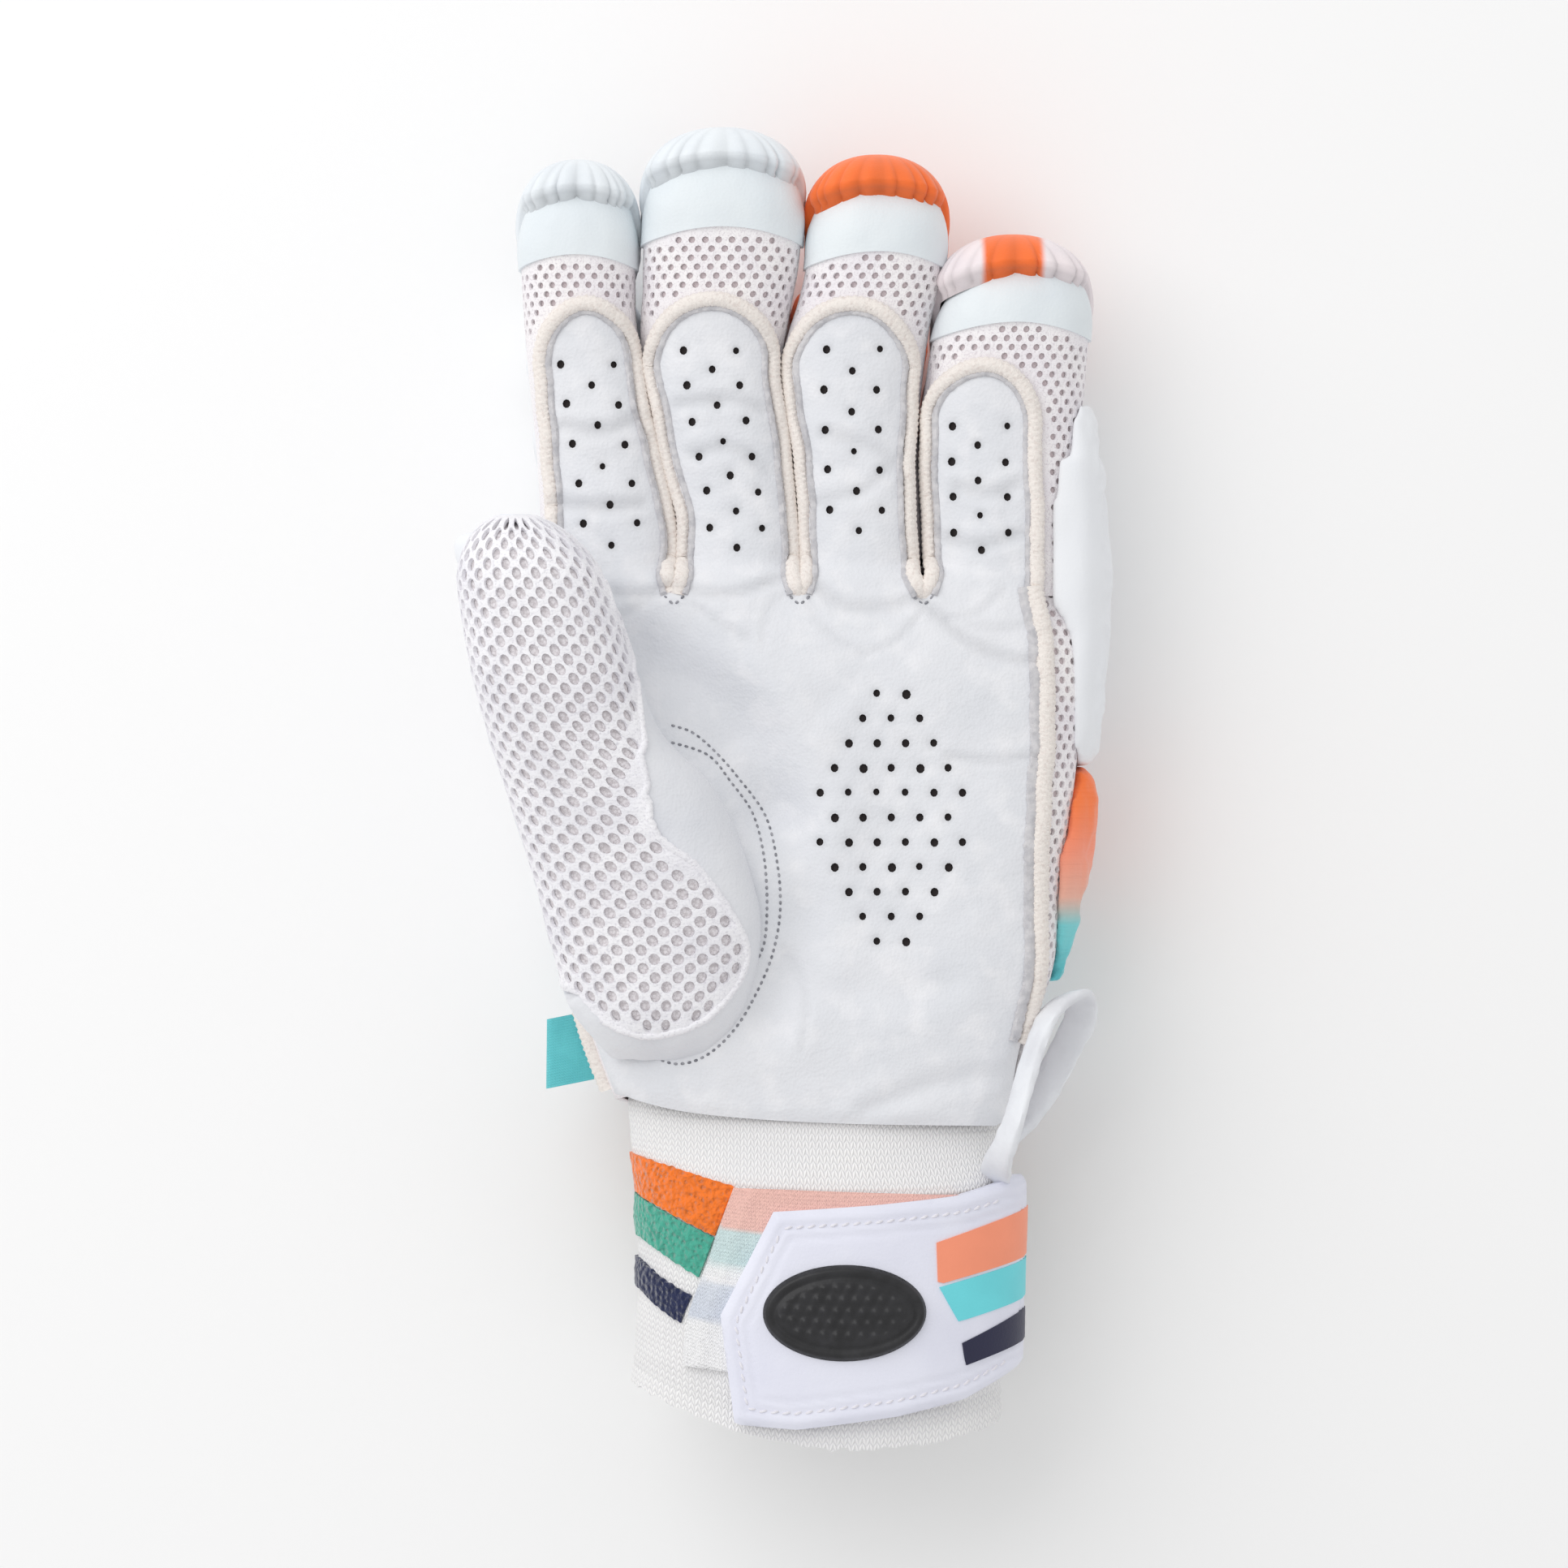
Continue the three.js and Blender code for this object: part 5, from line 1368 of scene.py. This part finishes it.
how = {"outer": 1.5, "inner": 0.4, "spacing": 1.7, "waves": leather_dents}
lay_sheet("thumb_leather", thumb_skin, strip, thumb_leather, "palm_leather", **how)
back_lines = np.linspace(THUMB_Y + 0.4, thumb_end - 0.4, 40)
back = [(-0.235, y) for y in back_lines[::-1]] + [(0.222, y) for y in back_lines]
how = {"outer": 1.6, "inner": 0.3, "spacing": 2.0, "waves": leather_dents, "held": "stretched"}
lay_sheet("thumb_back", thumb_skin, back, finishes["pad_white"], "pad_white", **how)

# Thumb-side binding: the cream knitted tape down the palm's thumb edge, with
# a teal ribbon tab, woven and folded double, sewn in under it.
edge_lines = np.linspace(HEM_Y + 5, HEM_Y + 0.36 * PALM_LENGTH, 90)
edge_section = palm_section(edge_lines)
edge_x = edge_section["x"] - edge_section["half_width"] - WALL - 0.3
edge_path = np.column_stack([edge_x, edge_lines, edge_section["z"] + 1.5])
edge_up = np.tile([-0.6, 0.0, 0.8], (len(edge_path), 1))
points, every = sweep(edge_path, edge_up, 1.9, 1.5, BINDING_SIDES, knit_ribs)
make_piece("thumb_side_binding", points, every, cream_knit)
TAB_STEPS = 41
TAB_COLUMNS = 13
ribbon = Finish("ribbon", srgb(106, 214, 221), 0.5, sheen=0.3)
ribbon.mottle(200, srgb(92, 200, 208), 0.4, 0.8).knit(0.5, 0.5, 0.12)
tab_low, tab_high = np.array(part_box("ribbon_tab")) / MM
tab_width = tab_high[1] - tab_low[1] - 3.6
tab_reach = tab_high[0] - tab_low[0] - 1.2
tab_layers = []
for thick, bulge in ((1, 1), (0.55, 0.5)):
    layer = []
    for t in np.linspace(0, 1, TAB_STEPS):
        fold = math.pi * min(max((t - 0.46) / 0.08, 0), 1)
        run = min(t / 0.46, 1.0, (1 - t) / 0.46)
        x = tab_high[0] - tab_reach * run - 0.8 * math.sin(fold) * bulge
        z = (tab_low[2] + tab_high[2]) / 2 - 0.75 * math.cos(fold) * thick
        for v in np.linspace(0, 1, TAB_COLUMNS):
            y = tab_low[1] + 2.2 + tab_width * v - 0.2 * (tab_high[0] - x)
            layer.append((x + 0.15 * v - CENTRE[0], y - CENTRE[1], z + 0.15 * math.sin(v * 7)))
    tab_layers.append(np.array(layer))
points, every = thicken(*tab_layers, grid_faces(TAB_STEPS, TAB_COLUMNS))
tab_uv = [(k * 0.5, v * 13) for k in range(TAB_STEPS) for v in np.linspace(0, 1, TAB_COLUMNS)] * 2
tab = make_piece("ribbon_tab", points, every, ribbon, flat_uv=tab_uv)

# Knit cuff: a thick ribbed sleeve tucked inside the hem and open at the
# wrist, its lower edge left a little ragged.
CUFF_TUCK = 9.0
CUFF_TOP_Y = HEM_Y + CUFF_TUCK
CUFF_LENGTH = 73.0
CUFF_WIDTH = 79.0
CUFF_DEPTH = 42.0
CUFF_WALL = 2.4
CUFF_BOW = 8.0
CUFF_POWER = 2.15
CUFF_Z = HAND_BASE + PALM_DEPTH / 2
CUFF = {
    "along": [0.0, 0.125, 0.3, 0.6, 1.0],
    "centre": [0.083, 0.083, 0.09, 0.09, 0.08],
    "width": [0.985, 0.985, 1.0, 0.99, 1.0],
    "depth": [0.66, 0.68, 0.92, 1.0, 1.0],
    "hem": [1.0, 1.0, 0.0, 0.0, 0.0],
}


def cuff_section(line):
    # The sleeve's section; at its top it takes the palm's section at the hem
    along = line / CUFF_LENGTH
    hem = palm_section(HEM_Y)
    sewn = np.interp(along, CUFF["along"], CUFF["hem"])

    def blend(own, at_hem):
        return own + (at_hem - own) * sewn

    half_width = between(CUFF, along, "width") * CUFF_WIDTH / 2
    half_depth = np.interp(along, CUFF["along"], CUFF["depth"]) * CUFF_DEPTH / 2
    return {
        "x": blend(between(CUFF, along, "centre") * CUFF_WIDTH, hem["x"]),
        "z": blend(CUFF_Z, hem["z"]),
        "half_width": blend(half_width, hem["half_width"] - GAP),
        "half_depth": blend(half_depth, hem["half_depth"] - GAP),
    }


def cuff_bend(x, line, section, grow):
    # The sleeve's rounds bow down towards the wrist
    across = (x - section["x"]) / (section["half_width"] + grow)
    return CUFF_TOP_Y - line - line / CUFF_LENGTH * CUFF_BOW * (0.75 - (across - 0.25) ** 2)


def cuff_skin(grow):
    return skin_over(cuff_section, np.linspace(0, CUFF_LENGTH, 60), CUFF_POWER, grow, cuff_bend)


def on_cuff(skin, grow, path):
    # Places in plan, over the front of the cuff, as (share round, line)
    path = np.asarray(path, float)
    line = np.clip(CUFF_TOP_Y - path[:, 1], 0, CUFF_LENGTH)
    for _ in range(4):
        section = cuff_section(line)
        at = cuff_bend(path[:, 0], line, section, grow)
        line = np.clip(line + at - path[:, 1], 0, CUFF_LENGTH)
    return np.column_stack([share_over(skin, path[:, 0], line), line])


def cuff_waves(share, line, flat):
    # Soft waves in the knit, with gathers that deepen towards the wrist
    angle = 2 * math.pi * share
    spots = np.column_stack([np.cos(angle) * 12, np.sin(angle) * 12, line])
    fade = np.clip(line / 14 - 0.4, 0, 1)
    gathers = noise_on(spots * [1, 1, 0.12], 1 / 2.6, 3) * np.clip(line / CUFF_LENGTH, 0, 1)
    return fade * (0.8 * noise_on(spots, 1 / 11, 4) + 0.2 * noise_on(spots, 1 / 3.5, 8) + 0.45 * gathers)


cuff_knit = Finish("cuff_knit", srgb(251, 250, 250), 0.9, sheen=0.25)
# The pale grey given to knit() is painted shade in the valleys between the stitches
cuff_knit.mottle(60, srgb(255, 254, 253)).knit(1.5, 1.35, 0.26, srgb(232, 231, 233))
cuff_knit.grain(1300, 0.12, 0.5, 2)
base_skin = cuff_skin(0)


def ragged(along, scale, seed):
    # An uneven edge, by the distance along it
    return noise_on(np.column_stack([along, along * 0, along * 0]), scale, seed)


def hemmed(share, line, flat):
    # The lower hem is turned up and overlocked with two lines of thread
    up = CUFF_LENGTH - line
    sewn = np.exp(-(((up - 5.2) / 0.5) ** 2)) + np.exp(-(((up - 7.0) / 0.5) ** 2))
    return cuff_waves(share, line, flat) - 0.45 * sewn


shares = np.linspace(0, 1, 160)
wrist_edge = CUFF_LENGTH - 0.9 + (0.9 * ragged(shares * 100, 0.9, 6) + 0.5 * ragged(shares * 100, 2.3, 2))
cuff_outline = [(s, 0.5) for s in shares] + list(zip(shares[::-1], wrist_edge[::-1]))
how = {"waves": hemmed, "held": "stretched"}
lay_sheet("wrist_cuff", base_skin, cuff_outline, cuff_knit, "knit", -0.2, -CUFF_WALL, 1.3, **how)

# Terry stripes: loops knitted into the cuff in orange, green-teal and navy,
# their edges jagged where the loops stop, running on round the back.
TERRY = {
    "orange": (255, 126, 36),
    "green": (74, 176, 152),
    "navy": (26, 36, 76),
}
TERRY_EDGES = {
    "orange": (
        ((-11, -84.3), (-21, -81.6), (-31.7, -78.5)),
        ((-15.1, -94.6), (-23, -91), (-31.5, -86.7)),
    ),
    "green": (
        ((-15.3, -95), (-23, -91.4), (-31.5, -87.1)),
        ((-18.5, -103.3), (-24.5, -100), (-30.9, -95.9)),
    ),
    "navy": (
        ((-19.9, -107.4), (-25.4, -104.6), (-30.9, -100.8)),
        ((-22.2, -113.2), (-26.4, -110.7), (-30.9, -107)),
    ),
}
STRIPE_BACK_SHARE = 1.2


def pile(share, line, flat):
    return cuff_waves(share, line, flat) + dents_on(flat, ((0.2, 1.3, 5),))


for name in TERRY:
    colour = srgb(*TERRY[name])
    terry = Finish("terry_" + name, colour, 0.95, sheen=0.5)
    terry.mottle(700, tuple(c * 0.72 for c in colour), 0.45, 0.8, 2).pebble(900, 1.1, 1.0, "SMOOTH_F1")
    terry.grain(2600, 0.3, 0.8, 2)
    edges = []
    for seed, path in zip((3, 9), TERRY_EDGES[name]):
        spots = on_cuff(base_skin, 0, eased_path(path, 16))
        round_back = np.linspace(spots[-1, 0] + 0.01, STRIPE_BACK_SHARE, 90)
        spots = np.concatenate([spots, np.column_stack([round_back, np.full(90, spots[-1, 1])])])
        spots[:, 1] += 0.45 * ragged(spots[:, 0] * 160, 1.1, seed)
        edges.append(spots)
    outline = np.concatenate([edges[0], edges[1][::-1]])
    how = {"waves": pile, "held": "laid", "rests_on": ["wrist_cuff"]}
    lay_sheet("cuff_stripe_" + name, base_skin, outline, terry, "knit", 0.45, -0.5, 0.95, **how)

# Loop tape: the brushed landing strip for the strap, knitted in soft bands of
# pink, grey-teal and white, sewn down along a ridge near its left edge.
TAPE_GROW = GAP
TAPE_WALL = 1.2
TAPE_EDGE = ((-11, -84.5), (-15.4, -97), (-20, -111), (-21.5, -122))
TAPE_BANDS = (
    (-128.0, srgb(255, 254, 255)),
    (-113.5, srgb(254, 254, 255)),
    (-112.5, srgb(222, 228, 240)),
    (-105.5, srgb(226, 232, 242)),
    (-104.5, srgb(255, 254, 255)),
    (-101.6, srgb(253, 255, 255)),
    (-100.6, srgb(214, 236, 236)),
    (-93.6, srgb(218, 238, 238)),
    (-92.8, srgb(255, 206, 194)),
    (-84.0, srgb(255, 204, 192)),
)
tape_cloth = Finish("tape_cloth", (1, 1, 1), 0.95, sheen=0.4)
tape_cloth.mottle(1300, (0.93, 0.93, 0.94), 0.45, 0.75, 2).shaded().knit(0.75, 0.75, 0.16)
tape_cloth.grain(1800, 0.25, 0.7, 2)
tape_skin = cuff_skin(TAPE_GROW)
tape_left = on_cuff(tape_skin, TAPE_GROW, eased_path(TAPE_EDGE, 8))
tape_right = on_cuff(tape_skin, TAPE_GROW, [(44, -116)])
tape_top = on_cuff(tape_skin, TAPE_GROW, [(x, -84.6 - 0.035 * (x + 11)) for x in np.linspace(44, -10, 12)])
tape_outline = np.concatenate([tape_left, tape_right, tape_top])


def tape_shade(flat, upper):
    return banded(TAPE_BANDS, upper[:, 1] + 0.12 * (upper[:, 0] + 10))


def tape_ridge(share, line, flat):
    ridge = near_path(flat, tape_left * [tape_skin["girth"], 1] - [4.2, 0])
    return cuff_waves(share, line, flat) + 0.6 * np.exp(-((ridge / 0.9) ** 2))


how = {"waves": tape_ridge, "shade": tape_shade, "held": "laid", "rests_on": ["wrist_cuff"]}
lay_sheet("loop_tape", tape_skin, tape_outline, tape_cloth, "loop_tape", TAPE_WALL, -0.2, 1.2, **how)

# Wrist strap: stiff white faced leathercloth cut to a blunt point, sewn round
# near its edge, with three coloured stripes let into its outer end.
STRAP_WALL = 2.6
STRAP_GROW = 2 * GAP + TAPE_WALL
STRAP_EDGE = (
    (-2.7, -89.3), (-13.5, -111), (-10.6, -133.6), (2.2, -134.4), (22.9, -131.8), (36.3, -129),
    (45.8, -124.5), (60, -119.5), (60, -84), (48.7, -83), (35.4, -86.4), (18.8, -87.9),
)
STRAP_STRIPES = (
    ("coral", (255, 156, 122), (
        (30.4, -95.9), (49.5, -89.6), (60, -87.5), (60, -97.5), (48.7, -100), (30.6, -104.6))),
    ("aqua", (114, 222, 230), (
        (30.9, -105.2), (48.7, -100.6), (60, -98), (60, -106.5), (47.3, -109.1), (34.7, -112.4))),
    ("navy", (36, 37, 66), (
        (35.4, -117), (47.3, -111.6), (60, -109), (60, -115.5), (47, -118.3), (36.1, -121.7))),
)


def strap_cut(edge):
    # A closed outline in plan, brought on to the strap's face
    return on_cuff(strap_skin, STRAP_GROW + 1.5, even_path([*edge, edge[0]], 1.6)[:-1])


strap_face = Finish("strap_face", srgb(234, 235, 247), 0.5, sheen=0.05)
strap_face.mottle(70, srgb(226, 227, 241), 0.4, 0.8).grain(1500, 0.12, 0.6, 3)
strap_skin = cuff_skin(STRAP_GROW)
strap_girth = strap_skin["girth"]
strap_outline = strap_cut(STRAP_EDGE)
strap_pattern = strap_outline * [strap_girth, 1]


def strap_relief(share, line, flat):
    # Turned-down edge, the dip of the sewn line and the embossed line inside it
    near = near_path(flat, strap_pattern, True)
    edge = -1.1 * np.exp(-((near / 0.8) ** 2))
    sewn = -0.45 * np.exp(-(((near - 3.2) / 0.6) ** 2))
    pressed = -0.35 * np.exp(-(((near - 5.4) / 0.5) ** 2))
    return edge + sewn + pressed + dents_on(flat, ((0.15, 9, 3),))


how = {"waves": strap_relief, "held": "laid", "rests_on": ["loop_tape"]}
lay_sheet("wrist_strap", strap_skin, strap_outline, strap_face, "strap", STRAP_WALL, 0.0, 0.85, **how)


def inside_edge(path, distance):
    # The closed outline moved inwards by an even distance
    run = np.roll(path, -1, axis=0) - np.roll(path, 1, axis=0)
    run /= np.linalg.norm(run, axis=1, keepdims=True) + 1e-9
    inward = np.column_stack([-run[:, 1], run[:, 0]]) * distance
    moved = path + inward if within(path[:1] + inward[:1], path)[0] else path - inward
    return moved[near_path(moved, path, True) > distance * 0.97]


white_thread = Finish("white_thread", srgb(236, 234, 240), 0.6)
white_thread.grain(4200, 0.08, detail=1)
sewn = even_path(inside_edge(strap_pattern, 3.2), 2.3) / [strap_girth, 1]
sewn_places = on_skin(strap_skin, *sewn.T, STRAP_WALL - 0.25)
sewn_ups = sewn_places - on_skin(strap_skin, *sewn.T)
visible = sewn_places[:, 0] < 46.5
points, every = stitches(sewn_places[visible], sewn_ups[visible], 0.72, 0.34, 0.25)
make_piece("strap_stitches", points, every, white_thread)
for name, colour, edge in STRAP_STRIPES:
    inlay = Finish("inlay_" + name, srgb(*colour), 0.45)
    inlay.mottle(90, tuple(0.92 * c for c in srgb(*colour)), 0.4, 0.8).grain(1500, 0.1, 0.6)
    name = "strap_stripe_" + name
    lay_sheet(name, strap_skin, strap_cut(edge), inlay, "strap", STRAP_WALL + 0.28, 1.6, 1.3)

# Grip patch: a raised oval of black moulded rubber on the strap, studded so
# that a gloved hand can pull the strap open.
GRIP_CENTRE = (12.0, -110.0)
GRIP_HALF = (17.0, 10.0)
STUD_PITCH = 2.6
grip_rubber = Finish("grip_rubber", srgb(34, 34, 36), 0.42)
grip_rubber.mottle(300, srgb(48, 48, 51), 0.4, 0.8).grain(1200, 0.08, 0.6, 3)
GRIP_GROW = STRAP_GROW + STRAP_WALL
grip_skin = cuff_skin(GRIP_GROW)
oval = np.array(round_hole(0, 0, 1, 64)) * GRIP_HALF + GRIP_CENTRE
grip_outline = on_cuff(grip_skin, GRIP_GROW, oval)
grip_pattern = grip_outline * [grip_skin["girth"], 1]


def studs(share, line, flat):
    # A rounded rim, a groove inside it, and rows of small studs
    near = near_path(flat, grip_pattern, True)
    edge = -1.3 * np.exp(-((near / 0.55) ** 2)) - 0.5 * np.exp(-(((near - 2.4) / 0.55) ** 2))
    row = flat[:, 1] / (STUD_PITCH * ROW_RISE)
    shift = np.mod(np.rint(row), 2) * 0.5
    dx = flat[:, 0] / STUD_PITCH - shift
    dx = (dx - np.rint(dx)) * STUD_PITCH
    dy = (row - np.rint(row)) * STUD_PITCH * ROW_RISE
    raised = 0.55 * np.clip(1.35 - np.hypot(dx, dy) / 0.75, 0, 1)
    return edge + raised * np.clip((near - 3.4) / 0.4, 0, 1)


how = {"outer": 1.5, "inner": -0.2, "spacing": 0.42, "waves": studs, "sharp": 60}
lay_sheet("grip_patch", grip_skin, grip_outline, grip_rubber, "grip", **how)

# Side loop: a band of soft padded leather, bent over and sewn by both ends
# into the cuff's outer edge. The glove is pulled on and hung up by it.
LOOP_PATH = (
    (43.6, -84.4, 38), (44.6, -79, 48.8), (47.5, -70, 53), (51.5, -57, 48), (55.5, -48.5, 43),
    (61.2, -45, 36), (62.9, -49, 31), (59.6, -57, 28), (55.4, -65, 27), (49.8, -73, 27), (43, -78.5, 27),
)
LOOP_HALF_WIDTH = 3.456
LOOP_HALF_THICK = 1.2
LOOP_TURN = (np.array([0.5, 0.15, 0.85]), np.array([0.85, 0.3, 0.42]))
loop_leather = Finish("loop_leather", srgb(236, 238, 242), 0.6, sheen=0.08)
loop_leather.mottle(120, srgb(222, 223, 228), 0.4, 0.8, 3).grain(500, 0.3, 0.7, 4)
loop_path = even_path(eased_path(LOOP_PATH, 12), 0.7)
loop_turn = np.clip(np.linspace(0, 1, len(loop_path)) * 4 - 1.6, 0, 1)[:, None]
loop_side = LOOP_TURN[0] * (1 - loop_turn) + LOOP_TURN[1] * loop_turn
loop_up = np.cross(loop_side, np.gradient(loop_path, axis=0))
loop_up /= np.linalg.norm(loop_up, axis=1, keepdims=True)


def loop_wrinkles(reach, angle, at):
    return 1 + 0.12 * noise.noise(Vector((reach * 0.35, math.cos(angle) * 1.5, math.sin(angle) * 1.5)))


points, every = sweep(loop_path, loop_up, LOOP_HALF_WIDTH, LOOP_HALF_THICK, 20, loop_wrinkles, 3.0)
make_piece("side_loop", points, every, loop_leather)
